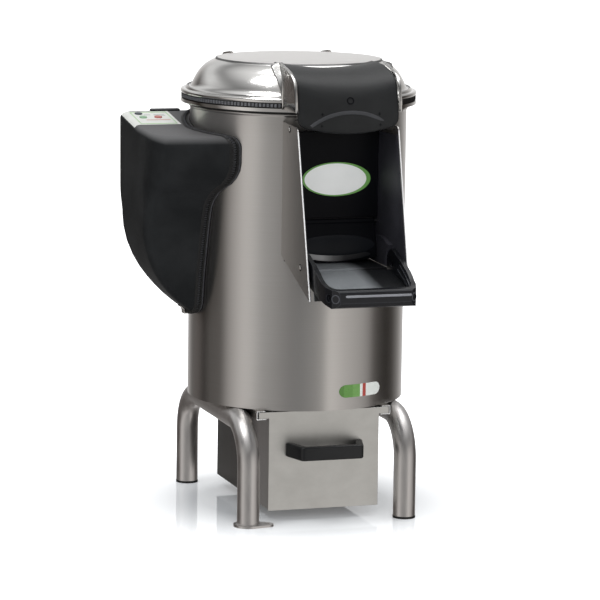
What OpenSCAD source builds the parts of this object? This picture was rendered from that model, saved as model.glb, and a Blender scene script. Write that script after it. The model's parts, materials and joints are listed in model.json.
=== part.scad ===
// Electric potato peeler on a tube frame: drum, hinged lid with hood, discharge chute,
// pull-down tray, control casing, belt drive and filter drawer.
// Millimetres. +Z is up, -Y is the front, and the origin lies on the drum axis at the floor.

/* [Drum] */
// Outer radius of the drum shell
drum_r = 195; // [190:1:200]
// Thickness of the drum shell
drum_wall = 2; // [1.5:0.5:3]
// Height of the drum's lower edge above the floor
drum_bottom = 200; // [198:1:202]
// Height of the drum's rolled lip above the floor
drum_top = 727; // [720:1:727]
// Radius of the rolled lip
lip_r = 2.5; // [2:0.5:3]

/* [Legs] */
// Outer radius of the leg tube
leg_r = 20; // [19:0.5:20]
// Wall of the leg tube
leg_wall = 2; // [1.5:0.5:3]
// Distance of the leg frames from the middle plane
leg_x = 146; // [146:1:150]
// Distance of the legs from the drum axis, front and rear
leg_y = 195; // [190:1:200]
// Bend radius of the leg tube's centre line
leg_bend = 75; // [60:5:80]

/* [Drawer] */
// Half width of the drawer box
drawer_half = 101; // [98:1:101]
// Length of the drawer box
drawer_len = 321; // [300:1:321]
// Height of the drawer's underside above the floor
drawer_bottom = 21; // [18:1:30]
// Y of the drawer front's outer face
drawer_face = -174; // [-176:1:-174]
// Half length of the handle's straight bar
handle_half = 57; // [50:1:60]

/* [Chute] */
// Outer half width of the steel chute
chute_half = 92; // [90:1:92]
// Y of the front edge of the chute sides at the height 700
chute_lip = -288; // [-292:1:-286]
// Forward slope of that edge, in millimetres per millimetre of height
chute_slope = 0.2857; // [0.27:0.005:0.29]
// Angle by which the chute sides close in towards the drum
chute_splay = 3.4; // [3:0.1:3.6]
// Height of the flap's pin
flap_z = 540; // [539:1:542]
// Height of the tray's pivot
tray_z = 475; // [473:1:477]

/* [Lid] */
// Outer radius of the lid's rim
lid_r = 212; // [211:1:214]
// Height of the lid's hinge pin
hinge_z = 745; // [743:1:750]
// Y of the lid's hinge pin
hinge_y = 232; // [230:1:240]
// Half width of the hood between its outer steel faces
hood_half = 97; // [96:0.5:98]

/* [Casing] */
// X of the control casing's outer face
casing_x = -301; // [-304:1:-298]
// Half width of the casing's upper part
casing_half = 129; // [127:1:131]
// Radius of a push key
key_r = 7; // [6:0.5:8]

/* [Drive] */
// Radius of the abrasive plate
plate_r = 185; // [182:1:186]
// Outer radius of the large pulley
big_pulley_r = 84; // [80:1:86]
// Outer radius of the motor pulley
small_pulley_r = 22; // [20:1:24]
// Radius of the drive shaft
shaft_r = 12.5; // [12:0.5:13]

/* [Hidden] */
$fn = 64;

steel = "silver";
bright = "gainsboro";
black = [0.13, 0.13, 0.14];
grey = "gray";

// Drum interior
drum_in = drum_r - drum_wall;
disc_r = drum_in - 0.1;
base_t = 3;
deck_z = 266;
deck_t = 6;
floor_z = 428;
floor_t = 3;
liner_r = 189;

// Discharge opening in the drum wall
gate_half = 72;
gate_low = 468;
gate_high = 540;

// Waste duct from the chamber floor to the drawer
duct_x = -60;
duct_y = -115;
duct_r = 27;
duct_gap = 0.3;

// Legs
leg_foot = 4;
leg_axis_z = drum_bottom - leg_r;
leg_bend_z = leg_axis_z - leg_bend;
leg_run = leg_y - leg_bend;
plug_r = leg_r - leg_wall - 0.1;

// Drawer
drawer_wall = 1.5;
drawer_y0 = drawer_face + 2;
drawer_y1 = drawer_y0 + drawer_len;
flange_z = 186.3;
flange_half = 121.5;
rail_z = 184;
rail_half = 125;
basket_y1 = 95;
drain_z = 50;
drain_r = 25;

// Chute
sheet = 2;
screw_y = -235;
screw_z = 705;
cheek_in = chute_half - 2 * sheet;
splay_y = -330;
panel_half = 80.5;
panel_y = -208;
panel_t = 3;
flap_y = -212;
flap_half = 73;
flap_low = 470;
flap_pin_r = 2.5;
tray_y = -307;
tray_pin_r = 4;
arm_out = 84.5;
arm_in = 76.5;

// Lid hinge
pin_r = 5;
arm_x = 91.5;
arm_t = 5;
rivet_y = -239;
rivet_z = 797;

// Control casing
seal_gap = 0.2;
seal_t = 16;
casing_wall = 3;
casing_bow = 202;
casing_bow_z = 530;
lock_y = -23.6;
lock_z = 636;
gland_x = -250;
gland_y = 108.5;
gland_z = 470;
panel_z = 688;
panel_rise = 20;
panel_tilt = atan(panel_rise / casing_half);
label_t = 0.8;
label_w = 86;
label_d = 92;
label_x = -256;
label_y = 66;
key_gap = 0.35;
key_top = 1.8;
key_start = [-14, 4];
key_stop = [14, 4];
key_timer = [-16, 30];

// Drive
motor_a = 45;
motor_d = 120;
motor_r = 60;
motor_pin_r = 9.5;
pulley_z = 240;
pulley_t = 22;
bearing_r = 26;
bearing_t = 15;
bearing_low = 332;
bearing_high = 405;
plate_z = 446;
run_gap = 0.05;

// Points of a round stretch about [cx, cy], from the angle a0 to the angle a1
function arc(cx, cy, r, a0, a1, n = 8) =
    [for (i = [0 : n]) let (a = a0 + (a1 - a0) * i / n) [cx + r * cos(a), cy + r * sin(a)]];

function flip(p) = [for (i = [len(p) - 1 : -1 : 0]) [-p[i][0], p[i][1]]];

function unit(v) = v / norm(v);

function left_of(a, b) = let (u = unit(b - a)) [-u[1], u[0]];

// A counter-clockwise outline moved inwards by d
function inset(p, d) =
    let (n = len(p))
    [for (i = [0 : n - 1])
        let (m = left_of(p[(i + n - 1) % n], p[i]), k = left_of(p[i], p[(i + 1) % n]))
        p[i] + d * (m + k) / (1 + m * k)];

// Y of the chute's front edge at the height z
function chute_front(z) = chute_lip - chute_slope * (700 - z);

// Height of the lower edge of the chute sides at y
function chute_under(y) = 425 + 0.2835 * (y + 366);

// An outline in Y and Z drawn out along X
module extrude_x(x0, x1) {
    translate([x0, 0, 0]) rotate([90, 0, 90]) linear_extrude(x1 - x0) children();
}

// An outline in X and Z drawn out along Y
module extrude_y(y0, y1) {
    translate([0, y1, 0]) rotate([90, 0, 0]) linear_extrude(y1 - y0) children();
}

module both_sides() {
    children();
    mirror([1, 0, 0]) children();
}

module ring(r_out, r_in, h) {
    difference() {
        cylinder(r = r_out, h = h);
        translate([0, 0, -1]) cylinder(r = r_in, h = h + 2);
    }
}

// A rod along X between x0 and x1
module rod_x(r, x0, x1, y, z) {
    translate([x0, y, z]) rotate([0, 90, 0]) cylinder(r = r, h = x1 - x0);
}

module drum_core(r) {
    cylinder(r = r, h = 900);
}

module at_duct(z) {
    translate([duct_x, duct_y, z]) children();
}

module at_motor(z) {
    rotate([0, 0, motor_a]) translate([motor_d, 0, z]) children();
}

module gate_cut() {
    translate([-gate_half, -drum_r - 5, gate_low])
        cube([2 * gate_half, 30, gate_high - gate_low]);
}

module water_cut() {
    translate([0, drum_r + 5, 605]) rotate([90, 0, 0]) cylinder(r = 8.2, h = 30);
}

// ---- Drum ----

module drum_shell() {
    color(steel) difference() {
        union() {
            translate([0, 0, drum_bottom]) cylinder(r = drum_r, h = drum_top - lip_r - drum_bottom);
            translate([0, 0, drum_top - lip_r]) rotate_extrude() translate([drum_r, 0]) circle(lip_r);
        }
        translate([0, 0, drum_bottom - 1]) cylinder(r = drum_in, h = 600);
        gate_cut();
        water_cut();
        rod_x(12, -drum_r - 5, -drum_r + 10, 0, 450);
    }
}

module saddle() {
    difference() {
        translate([leg_x - 14, 70, leg_axis_z + 8]) cube([28, 30, leg_r - 8]);
        translate([leg_x, 60, leg_axis_z]) rotate([-90, 0, 0]) cylinder(r = leg_r, h = 50);
    }
}

module drum_base() {
    color(steel) {
        difference() {
            translate([0, 0, drum_bottom]) cylinder(r = disc_r, h = base_t);
            at_duct(drum_bottom - 1) cylinder(r = duct_r + duct_gap, h = 10);
        }
        both_sides() {
            saddle();
            mirror([0, 1, 0]) saddle();
        }
    }
}

module drive_deck() {
    color(steel) difference() {
        translate([0, 0, deck_z]) cylinder(r = disc_r, h = deck_t);
        translate([0, 0, deck_z - 1]) cylinder(r = 18, h = 10);
        at_motor(deck_z - 1) cylinder(r = 20, h = 10);
        at_duct(deck_z - 1) cylinder(r = duct_r + duct_gap, h = 10);
    }
}

module chamber_floor() {
    color(steel) difference() {
        translate([0, 0, floor_z]) cylinder(r = disc_r, h = floor_t);
        translate([0, 0, floor_z - 1]) cylinder(r = 20.1, h = 10);
        at_duct(floor_z - 1) cylinder(r = duct_r + duct_gap, h = 10);
    }
}

module abrasive_liner() {
    color(grey) difference() {
        translate([0, 0, 462]) ring(disc_r, liner_r, 238);
        gate_cut();
        water_cut();
    }
}

module waste_duct() {
    color(steel) at_duct(192) ring(duct_r, duct_r - 2, floor_z + floor_t - 192);
}

module water_valve() {
    color(grey) difference() {
        union() {
            translate([-18, drum_r + 2, 585]) cube([36, 38, 40]);
            translate([0, drum_r + 3, 605]) rotate([90, 0, 0]) cylinder(r = 8, h = 12);
            translate([0, drum_r + 39, 605]) rotate([-90, 0, 0]) cylinder(r = 13.2, h = 17);
        }
        translate([0, drum_r + 41, 605]) rotate([-90, 0, 0]) cylinder(r = 9, h = 20);
    }
}

module pill_sticker() {
    color("lightgreen") intersection() {
        ring_r = drum_r + 0.1;
        translate([0, 0, 210]) ring(ring_r + 0.4, ring_r, 50);
        rotate([0, 0, 19.4]) extrude_y(-210, -150) union() {
            translate([-32, 219.5]) square([64, 27]);
            translate([-32, 233]) circle(13.5);
            translate([32, 233]) circle(13.5);
        }
    }
}

// ---- Legs ----

module leg_path(r, foot) {
    for (side = [0, 1]) mirror([0, side, 0]) {
        translate([0, -leg_y, foot]) cylinder(r = r, h = leg_bend_z - foot);
        translate([0, -leg_run, leg_bend_z]) rotate([90, 0, 90]) rotate([0, 0, 90])
            rotate_extrude(angle = 90) translate([leg_bend, 0]) circle(r);
    }
    translate([0, -leg_run, leg_axis_z]) rotate([-90, 0, 0]) cylinder(r = r, h = 2 * leg_run);
}

module leg_frame() {
    difference() {
        leg_path(leg_r, leg_foot);
        leg_path(leg_r - leg_wall, leg_foot - 1);
    }
}

module leg_frame_left() {
    color(steel) translate([-leg_x, 0, 0]) leg_frame();
}

module leg_frame_right() {
    color(steel) translate([leg_x, 0, 0]) leg_frame();
}

module leg_caps() {
    color(black) for (p = [[-leg_x, leg_y], [leg_x, -leg_y], [leg_x, leg_y]])
        translate([p[0], p[1], 0]) {
            cylinder(r = leg_r + 0.4, h = leg_foot);
            cylinder(r = plug_r, h = 18);
        }
}

module foot_plate() {
    tongue = 32;
    color(steel) translate([-leg_x, -leg_y, 0]) rotate([0, 0, -14]) difference() {
        union() {
            linear_extrude(leg_foot) union() {
                circle(26);
                translate([tongue, 0]) circle(13);
                polygon([[10.5, -23.8], [tongue + 5.3, -11.9], [tongue + 5.3, 11.9], [10.5, 23.8]]);
            }
            cylinder(r = plug_r, h = 18);
        }
        translate([tongue + 2, 0, -1]) cylinder(r = 4.5, h = leg_foot + 2);
    }
}

// ---- Drawer and its rails ----

module drawer_rails() {
    lip = rail_half - 18;
    color(steel) both_sides() extrude_y(drawer_y0 + 0.5, 150) polygon([
        [lip, rail_z], [rail_half, rail_z], [rail_half, drum_bottom],
        [lip + 2, drum_bottom], [lip + 2, drum_bottom - 1.5],
        [rail_half - 1.6, drum_bottom - 1.5], [rail_half - 1.6, rail_z + 2], [lip, rail_z + 2]
    ]);
}

module drawer_box() {
    top = flange_z + drawer_wall;
    inner = drawer_half - drawer_wall;
    color(steel) difference() {
        union() {
            translate([-drawer_half, drawer_y0, drawer_bottom])
                cube([2 * drawer_half, drawer_len, top - drawer_bottom]);
            translate([-flange_half, drawer_y0, flange_z])
                cube([2 * flange_half, drawer_len, drawer_wall]);
        }
        translate([-inner, drawer_y0 + drawer_wall, drawer_bottom + drawer_wall])
            cube([2 * inner, drawer_len - 2 * drawer_wall, 200]);
        translate([0, drawer_y1 + 5, drain_z]) rotate([90, 0, 0]) cylinder(r = drain_r - 1, h = 20);
    }
}

module drawer_front() {
    color(steel) extrude_y(drawer_face, drawer_y0) union() {
        translate([-103, drawer_bottom - 1]) square([206, 198.2 - drawer_bottom + 1]);
        translate([-flange_half, 186.5]) square([2 * flange_half, 11.7]);
    }
}

module drawer_handle() {
    root = drawer_face;
    reach = root - 52;
    color(black) translate([0, 0, 117]) linear_extrude(25) difference() {
        polygon(concat(
            [[-handle_half - 15, root]],
            arc(-handle_half + 6, reach + 8, 8, 195, 270, 5),
            arc(handle_half - 6, reach + 8, 8, 270, 345, 5),
            [[handle_half + 15, root]]
        ));
        polygon(concat(
            [[-handle_half - 2, root + 1]],
            arc(-handle_half + 14, reach + 17, 4, 195, 270, 4),
            arc(handle_half - 14, reach + 17, 4, 270, 345, 4),
            [[handle_half + 2, root + 1]]
        ));
    }
}

module filter_basket() {
    half = 95;
    low = 55;
    y0 = drawer_y0 + 7;
    depth = basket_y1 - y0;
    color(grey) {
        difference() {
            translate([-half, y0, low]) cube([2 * half, depth, 115]);
            translate([-half + 1.5, y0 + 1.5, low + 1.5]) cube([2 * half - 3, depth - 3, 120]);
            for (x = [-80 : 20 : 80])
                translate([x - 3, y0 + 12, low - 1]) cube([6, depth - 24, 4]);
        }
        for (x = [-half + 5, half - 5], y = [y0 + 6, basket_y1 - 6])
            translate([x, y, drawer_bottom + drawer_wall])
                cylinder(r = 4, h = low - drawer_bottom - drawer_wall);
    }
}

module drain_pipe() {
    color(grey) translate([0, drawer_y1 - drawer_wall, drain_z]) rotate([-90, 0, 0]) {
        ring(drain_r - 1, drain_r - 2.5, 3);
        translate([0, 0, 3]) ring(drain_r, drain_r - 2.5, 30);
    }
}

// ---- Discharge chute ----

// Turns a right-hand chute side so that its rear end closes in
module splayed() {
    translate([chute_half, splay_y, 0]) rotate([0, 0, chute_splay])
        translate([-chute_half, -splay_y, 0]) children();
}

module chute_side() {
    high = 713;
    x0 = chute_half - sheet;
    color(steel) difference() {
        splayed() {
            extrude_x(x0, chute_half) polygon(concat(
                [[-160, high]],
                arc(chute_lip + 12.7, high - 12, 12, 90, 170, 5),
                [[chute_front(425), 425], [-160, chute_under(-160)]]
            ));
            extrude_x(x0 - 4, chute_half) polygon([
                [chute_front(696), 696], [chute_front(425), 425],
                [chute_front(425) + 2, 425], [chute_front(696) + 2, 696]
            ]);
        }
        drum_core(drum_r);
        rod_x(tray_pin_r, x0 - 10, chute_half + 10, tray_y, tray_z);
        rod_x(2, x0 - 15, chute_half + 5, screw_y, screw_z);
    }
}

module chute_side_left() {
    mirror([1, 0, 0]) chute_side();
}

module chute_side_right() {
    chute_side();
}

module chute_cheeks() {
    color(black) both_sides() difference() {
        union() {
            splayed() extrude_x(cheek_in, chute_half - sheet) polygon([
                [-160, 698], [chute_front(698) + 3, 698], [chute_front(446) + 3, 446],
                [-160, chute_under(-160) + 4]
            ]);
            intersection() {
                splayed() extrude_x(flap_half - 10, cheek_in) polygon([
                    [-240, 517], [-258, 514], [-285, 506.5], [-280, 497], [-277, 487], [-276, 468.3],
                    [-180, 468.3], [-180, 512]
                ]);
                translate([flap_half + 3.5, -300, 400]) cube([30, 200, 200]);
            }
        }
        drum_core(drum_r);
        rod_x(tray_pin_r, cheek_in - 10, chute_half, tray_y, tray_z);
        rod_x(flap_pin_r, cheek_in - 15, chute_half, flap_y, flap_z);
    }
}

module chute_back_panel() {
    low = flap_z + 6.5;
    color(black) translate([-panel_half, panel_y - panel_t, low])
        cube([2 * panel_half, panel_t, 698 - low]);
}

module oval_plate() {
    y = panel_y - panel_t;
    color("honeydew") extrude_y(y - 1.2, y)
        polygon([for (a = [0 : 7.5 : 359]) [63.5 * cos(a), 614 + 31 * sin(a)]]);
}

module chute_floor() {
    nose = -290.5;
    apron_top = 440;
    apron_half = cheek_in - 3.8;
    color(steel) {
        difference() {
            extrude_x(-flap_half, flap_half) polygon([
                [-160, gate_low], [nose, gate_low], [nose, 455],
                [chute_front(apron_top) + 2, apron_top - 4], [chute_front(apron_top) + 2, apron_top - 6],
                [nose + 2, 453.4], [nose + 2, gate_low - 2], [-160, gate_low - 2]
            ]);
            drum_core(drum_r);
        }
        extrude_x(-apron_half, apron_half) polygon([
            [chute_front(apron_top), apron_top], [chute_front(425), 425],
            [chute_front(425) + 2, 425], [chute_front(apron_top) + 2, apron_top]
        ]);
    }
}

module chute_screws() {
    seat = chute_half - (screw_y - splay_y) * tan(chute_splay);
    color(bright) both_sides() {
        rod_x(2, seat - sheet, seat + 0.2, screw_y, screw_z);
        rod_x(4.5, seat + 0.2, seat + 2.7, screw_y, screw_z);
    }
}

module flap_pin() {
    end = chute_half - sheet - (flap_y - splay_y) * tan(chute_splay) - 0.3;
    color(bright) rod_x(flap_pin_r, -end, end, flap_y, flap_z);
}

module tray_pivots() {
    seat = chute_half - (tray_y - splay_y) * tan(chute_splay) + 0.3;
    color(bright) both_sides() {
        rod_x(tray_pin_r, arm_in + 0.5, seat, tray_y, tray_z);
        rod_x(5, seat, seat + 2.5, tray_y, tray_z);
    }
}

module discharge_flap() {
    bow = 375;
    color(black) difference() {
        union() {
            intersection() {
                extrude_x(-flap_half, flap_half) polygon([
                    [flap_y - 2.5, flap_z], [flap_y - 13, 505], [flap_y - 16.5, 490], [flap_y - 16.5, 478],
                    [flap_y - 14, flap_low], [flap_y - 9, flap_low], [flap_y - 9, 505], [flap_y + 2, flap_z]
                ]);
                translate([0, -180, flap_low + bow]) rotate([90, 0, 0])
                    cylinder(r = bow, h = 100, $fn = 128);
            }
            rod_x(5, -flap_half, flap_half, flap_y, flap_z);
        }
        rod_x(flap_pin_r + run_gap, -flap_half - 1, flap_half + 1, flap_y, flap_z);
    }
}

// ---- Tray ----

// Half outline of the tray in plan, from its rear end to its front bar
tray_plan = [[arm_out, -270], [arm_out, -400], [81.5, -425], [75, -446], [62, -458]];
tray_well = [[arm_in, -268], [arm_in, -400], [73.5, -422], [67, -438], [60, -441]];

function closed_plan(p) = concat(flip(p), p);

tray_side = concat(
    arc(tray_y, tray_z, 28, -80, 83, 12),
    [[-319, 498.5], [-358, 486], [-386, 475], [-409, 463.5], [-430, 458], [-446, 456]],
    arc(-449, 449, 7, 90, 180, 3),
    [[-457, 434], [-452, 426.5], [-444, 424], [-398, 435], [-340, 447]]
);

module tray_frame() {
    color(black) difference() {
        union() {
            intersection() {
                translate([0, 0, 410]) linear_extrude(100) difference() {
                    polygon(closed_plan(tray_plan));
                    polygon(closed_plan(tray_well));
                }
                extrude_x(-90, 90) polygon(tray_side);
            }
            intersection() {
                both_sides() extrude_x(66, arm_in + 0.5) polygon([
                    [-302, 461.9], [-302, 457.5], [-446, 431.5], [-446, 436.5]
                ]);
                translate([0, 0, 410]) linear_extrude(100) polygon(closed_plan(tray_plan));
            }
        }
        both_sides() rod_x(tray_pin_r + run_gap, arm_in - 12, arm_out + 1, tray_y, tray_z);
        both_sides() translate([77.5, -436, 441]) rotate([0, 0, -17]) rotate([0, 90, 0])
            translate([0, 0, -4]) cylinder(r = 7, h = 12);
    }
}

module tray_floor() {
    color(grey) intersection() {
        extrude_x(-90, 90) polygon([[-295, 465.2], [-295, 463.2], [-446, 436.5], [-446, 438.5]]);
        translate([0, 0, 410]) linear_extrude(100) polygon(closed_plan(tray_well));
    }
}

// ---- Lid and hood ----

// Outer outline of the lid, from its lower lip to the middle of the top, as [radius, height]
lid_outer = [
    [lid_r, 731], [lid_r, 737], [lid_r - 5, 738], [lid_r - 5, 746.5], [lid_r, 747.5],
    [lid_r, 752.5], [lid_r - 1.5, 754], [203.5, 755], [202.5, 758], [200, 759.5],
    [197.5, 758.5], [195, 759.5], [192.5, 762], [189.5, 769], [186, 776], [181.5, 784],
    [176, 791], [168.5, 798], [163, 802], [155.5, 805.5], [151, 807.5], [149.5, 809.5],
    [75, 812.5], [0, 813.5]
];
lid_inner = [
    [0, 810.5], [75, 809.5], [147.5, 806.5], [153, 803], [161, 799], [166, 795],
    [173, 788.5], [178.5, 781.5], [183, 774], [186, 768], [189, 760], [192, 755],
    [199, 751], [203, 749], [203, 736], [191, 734], [191, 731]
];

module lid_solid() {
    rotate_extrude($fn = 96) polygon(concat([[0, 731]], lid_outer));
}

module lid_dome() {
    color(bright) rotate_extrude($fn = 96) polygon(concat(lid_outer, lid_inner));
}

module lid_band() {
    color(black) translate([0, 0, 738.2]) ring(lid_r - 1.2, lid_r - 5 + 0.1, 8.1);
}

module lid_gasket() {
    color(black) translate([0, 0, 727.4]) ring(200, 191, 3.6);
}

hood_top = [
    [-120, 790], [-140, 801], [-146, 808], [-152, 814.5], [-160, 818], [-172, 819],
    [-188, 818.2], [-215, 814], [-249, 807.5], [-262, 801], [-271, 791], [-276, 776], [-284, 741]
];

module hood_side() {
    x0 = hood_half - sheet;
    color(steel) difference() {
        union() {
            extrude_x(x0, hood_half) polygon(concat(hood_top, [
                [-284, 738.5], [-221, 738.5], [-217, 757], [-199, 759.5], [-182, 780], [-160, 786]
            ]));
            extrude_x(hood_half - 5.3, hood_half) polygon([
                [-271, 791], [-276, 776], [-284, 741], [-284, 738.5],
                [-282, 738.5], [-282, 741], [-274, 776], [-269, 790]
            ]);
        }
        lid_solid();
        rod_x(2, x0 - 1, hood_half + 1, rivet_y, rivet_z);
    }
}

module hood_side_left() {
    mirror([1, 0, 0]) hood_side();
}

module hood_side_right() {
    hood_side();
}

module hood_rivets() {
    color(bright) both_sides() {
        rod_x(2, hood_half - sheet, hood_half, rivet_y, rivet_z);
        rod_x(4.2, hood_half, hood_half + 2, rivet_y, rivet_z);
    }
}

// The hood's bulged block: side outline, front bow and lower bow, moved inwards by d
module hood_block(half, d) {
    front_bow = 460;
    low_bow = 329;
    intersection() {
        extrude_x(-half, half) polygon(concat(
            [[-100, 690], [-100, 815 - d], [-142, 813 - d]],
            arc(-240, 752, 50 - d, 96, 180, 8),
            [[-291 + d, 715], [-288 + d, 690]]
        ));
        translate([0, 170, 680]) cylinder(r = front_bow - d, h = 150, $fn = 128);
        translate([0, 0, 702 + low_bow - 4 * d]) rotate([90, 0, 0])
            cylinder(r = low_bow, h = 300, $fn = 128);
    }
}

module hood_cover() {
    wall = 3;
    rear_r = 166;
    half = 91.4;
    color(black) difference() {
        hood_block(half, 0);
        difference() {
            hood_block(half - wall, wall);
            drum_core(rear_r + wall);
        }
        drum_core(rear_r);
        cylinder(r = 820, h = 690);
        lid_solid();
        translate([0, 0, 690]) cylinder(r = lid_r + 1, h = 66);
    }
}

module lid_hinge_arms() {
    color(steel) both_sides() difference() {
        extrude_x(arm_x, arm_x + arm_t) polygon(concat(
            [[112, 813.5], [100, 810], [95, 800], [150, 780], [185, 757], [196, 744], [214, 735]],
            arc(hinge_y, hinge_z, 11, -100, 60, 8),
            [[195, 787], [150, 809]]
        ));
        lid_solid();
        rod_x(pin_r + run_gap, arm_x - 1, arm_x + arm_t + 1, hinge_y, hinge_z);
    }
}

module hinge_bracket() {
    x0 = arm_x + arm_t + 1.5;
    color(steel) difference() {
        union() {
            both_sides() extrude_x(x0, x0 + 4) polygon(concat(
                [[140, 650], [205, 660], [238, 725]],
                arc(hinge_y, hinge_z, 11, 0, 180, 8),
                [[214, 728], [190, 716], [140, 712]]
            ));
            intersection() {
                translate([0, 0, 650]) ring(drum_r + 3, drum_r, 62);
                translate([-x0 - 4, 0, 640]) cube([2 * x0 + 8, 300, 80]);
            }
        }
        drum_core(drum_r);
        both_sides() rod_x(pin_r, x0 - 1, x0 + 5, hinge_y, hinge_z);
    }
}

module hinge_pin() {
    end = arm_x + arm_t + 7;
    color(bright) rod_x(pin_r, -end, end, hinge_y, hinge_z);
}

// ---- Control casing ----

// The casing's outline seen from the side, as [y, z]: a narrow lower lobe under a wide head
casing_front = concat(
    arc(-casing_half + 20, 663, 20, 90, 180, 5),
    arc(-casing_half + 52, 636, 52, 180, 238, 6),
    arc(-142.6, 528.5, 74, 58, 8, 6),
    [[-63, 500], [-53, 430], [-50, 398]],
    arc(-22, 385, 27, 160, 255, 6)
);
casing_rear = concat(
    arc(20, 386, 30, -95, -30, 4),
    arc(-70, 510, 180, -24, 6, 6),
    arc(casing_half - 40, 570, 36, -25, 0, 3)
);
casing_outline = concat(
    casing_front, casing_rear, [[casing_half, panel_z + panel_rise], [0, panel_z]]
);

// The casing's solid, moved inwards by d on every side but the drum's
module casing_block(d) {
    rear_corner = 16;
    front_corner = 28;
    intersection() {
        extrude_x(casing_x - 10, -140) polygon(inset(casing_outline, d));
        extrude_y(-140, 140) polygon(concat(
            [[-100, 760], [casing_x + d, 760]],
            arc(casing_x + casing_bow, casing_bow_z, casing_bow - d, 180, 240, 12),
            [[-100, 332]]
        ));
        translate([0, 0, 330]) linear_extrude(400) polygon(concat(
            arc(casing_x + rear_corner, casing_half - rear_corner, rear_corner - d, 90, 180, 6),
            arc(casing_x + front_corner, front_corner - casing_half, front_corner - d, 180, 270, 6),
            [[-100, -casing_half], [-100, casing_half]]
        ));
    }
}

// The key panel's own frame, with its origin on the casing's sloping top
module at_panel() {
    translate([label_x, label_y, panel_z + label_y * panel_rise / casing_half])
        rotate([panel_tilt, 0, 0]) children();
}

module key_cuts() {
    for (k = [key_start, key_stop, key_timer])
        translate([k[0], k[1], -10]) cylinder(r = key_r + key_gap, h = 20);
}

module casing_cover() {
    color(black) difference() {
        union() {
            casing_block(0);
            translate([-243, 113.5, 690]) cube([55, 15, 20]);
            translate([gland_x, 96, gland_z]) rotate([-90, 0, 0]) cylinder(r = 14, h = gland_y - 96);
        }
        casing_block(casing_wall);
        drum_core(drum_r + seal_t);
        at_panel() key_cuts();
        rod_x(4.3, casing_x - 1, casing_x + 10, lock_y, lock_z);
        translate([gland_x, 80, gland_z]) rotate([-90, 0, 0]) cylinder(r = 8.2, h = 40);
    }
}

module casing_gasket() {
    color(black) intersection() {
        translate([0, 0, 340]) ring(drum_r + seal_t, drum_r + seal_gap, 400);
        extrude_x(-300, -130) difference() {
            polygon(inset(casing_outline, -1.5));
            polygon(inset(casing_outline, 8));
        }
    }
}

module casing_fixings() {
    color(bright) {
        rod_x(4, casing_x + 1.5, casing_x + 12, lock_y, lock_z);
        difference() {
            extrude_y(-9, 9) polygon([
                [-190, 352.3], [-190, 354.3], [-211.3, 354.3], [-211.6, 361.9],
                [-219.9, 367.8], [-221.2, 366.1], [-213.4, 360.6], [-213.2, 352.3]
            ]);
            drum_core(drum_r);
        }
    }
}

module control_label() {
    color("honeydew") at_panel() difference() {
        linear_extrude(label_t) hull()
            for (i = [-1, 1], j = [-1, 1])
                translate([i * (label_w / 2 - 4), j * (label_d / 2 - 4)]) circle(4);
        key_cuts();
    }
}

module control_board() {
    color("darkgreen") at_panel() {
        translate([-38, -42, -14]) cube([76, 88, 1.6]);
        for (k = [key_start, key_stop, key_timer])
            translate([k[0], k[1], -12.4]) cylinder(r = 3, h = 5);
        for (x = [-34, 34], y = [-38, 42])
            translate([x, y, -12.4]) cylinder(r = 3, h = 9);
    }
}

module contactor() {
    color(grey) {
        translate([-285, -25, 560]) cube([55, 50, 75]);
        translate([-275, -20, 635]) cube([35, 40, 8]);
    }
}

module cable_gland() {
    color(black) translate([gland_x, gland_y, gland_z]) rotate([-90, 0, 0]) difference() {
        union() {
            translate([0, 0, -12.5]) cylinder(r = 8, h = 14);
            cylinder(r = 12, h = 6, $fn = 6);
            translate([0, 0, 5.5]) cylinder(r = 9.5, h = 12);
        }
        translate([0, 0, -15]) cylinder(r = 5.5, h = 40);
    }
}

module push_key(place, tint) {
    color(tint) at_panel() translate([place[0], place[1], -6]) cylinder(r = key_r, h = 6 + key_top);
}

module start_button() {
    push_key(key_start, "green");
}

module stop_button() {
    push_key(key_stop, "firebrick");
}

module timer_button() {
    push_key(key_timer, "dimgray");
}

// ---- Drive ----

module bearing_housing() {
    color(grey) difference() {
        union() {
            translate([0, 0, bearing_low]) cylinder(r = 36, h = 420 - bearing_low);
            translate([0, 0, 420]) cylinder(r = 58, h = floor_z - 420);
        }
        translate([0, 0, bearing_low - 1]) cylinder(r = 20.1, h = 120);
        translate([0, 0, bearing_low - 1]) cylinder(r = bearing_r, h = bearing_t + 1);
        translate([0, 0, bearing_high]) cylinder(r = bearing_r, h = bearing_t);
    }
}

module shaft_bearings() {
    color(bright) for (z = [bearing_low, bearing_high])
        translate([0, 0, z]) ring(bearing_r - 0.02, shaft_r + run_gap, bearing_t);
}

module shaft_seal() {
    color(black) translate([0, 0, 420.2]) ring(20, shaft_r + 0.1, 10.8);
}

module drive_shaft() {
    color(bright) translate([0, 0, 226]) cylinder(r = shaft_r, h = plate_z - 226);
}

module abrasive_plate() {
    crest = 60;
    color(grey) {
        difference() {
            union() {
                translate([0, 0, plate_z]) cylinder(r = plate_r, h = 12);
                translate([0, 0, plate_z - 8]) cylinder(r = 30, h = 8);
                translate([0, 0, plate_z + 12]) cylinder(r1 = 30, r2 = 20, h = 14);
                intersection() {
                    translate([0, 0, plate_z + 12]) cylinder(r = plate_r - 3, h = 10);
                    for (a = [90, 210, 330]) rotate([0, 0, a])
                        translate([10, 0, plate_z + 20 - crest]) rotate([0, 90, 0])
                            cylinder(r = crest, h = plate_r);
                }
            }
            translate([0, 0, plate_z - 9]) cylinder(r = shaft_r, h = 9);
        }
    }
}

// A grooved pulley with its bore
module pulley(r, bore) {
    z1 = pulley_t;
    rotate_extrude() polygon([
        [bore, 0], [r, 0], [r, 4.5], [r - 8, 5], [r - 8, z1 - 5], [r, z1 - 4.5], [r, z1], [bore, z1]
    ]);
}

module plate_pulley() {
    color(grey) translate([0, 0, pulley_z]) pulley(big_pulley_r, shaft_r);
}

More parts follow.
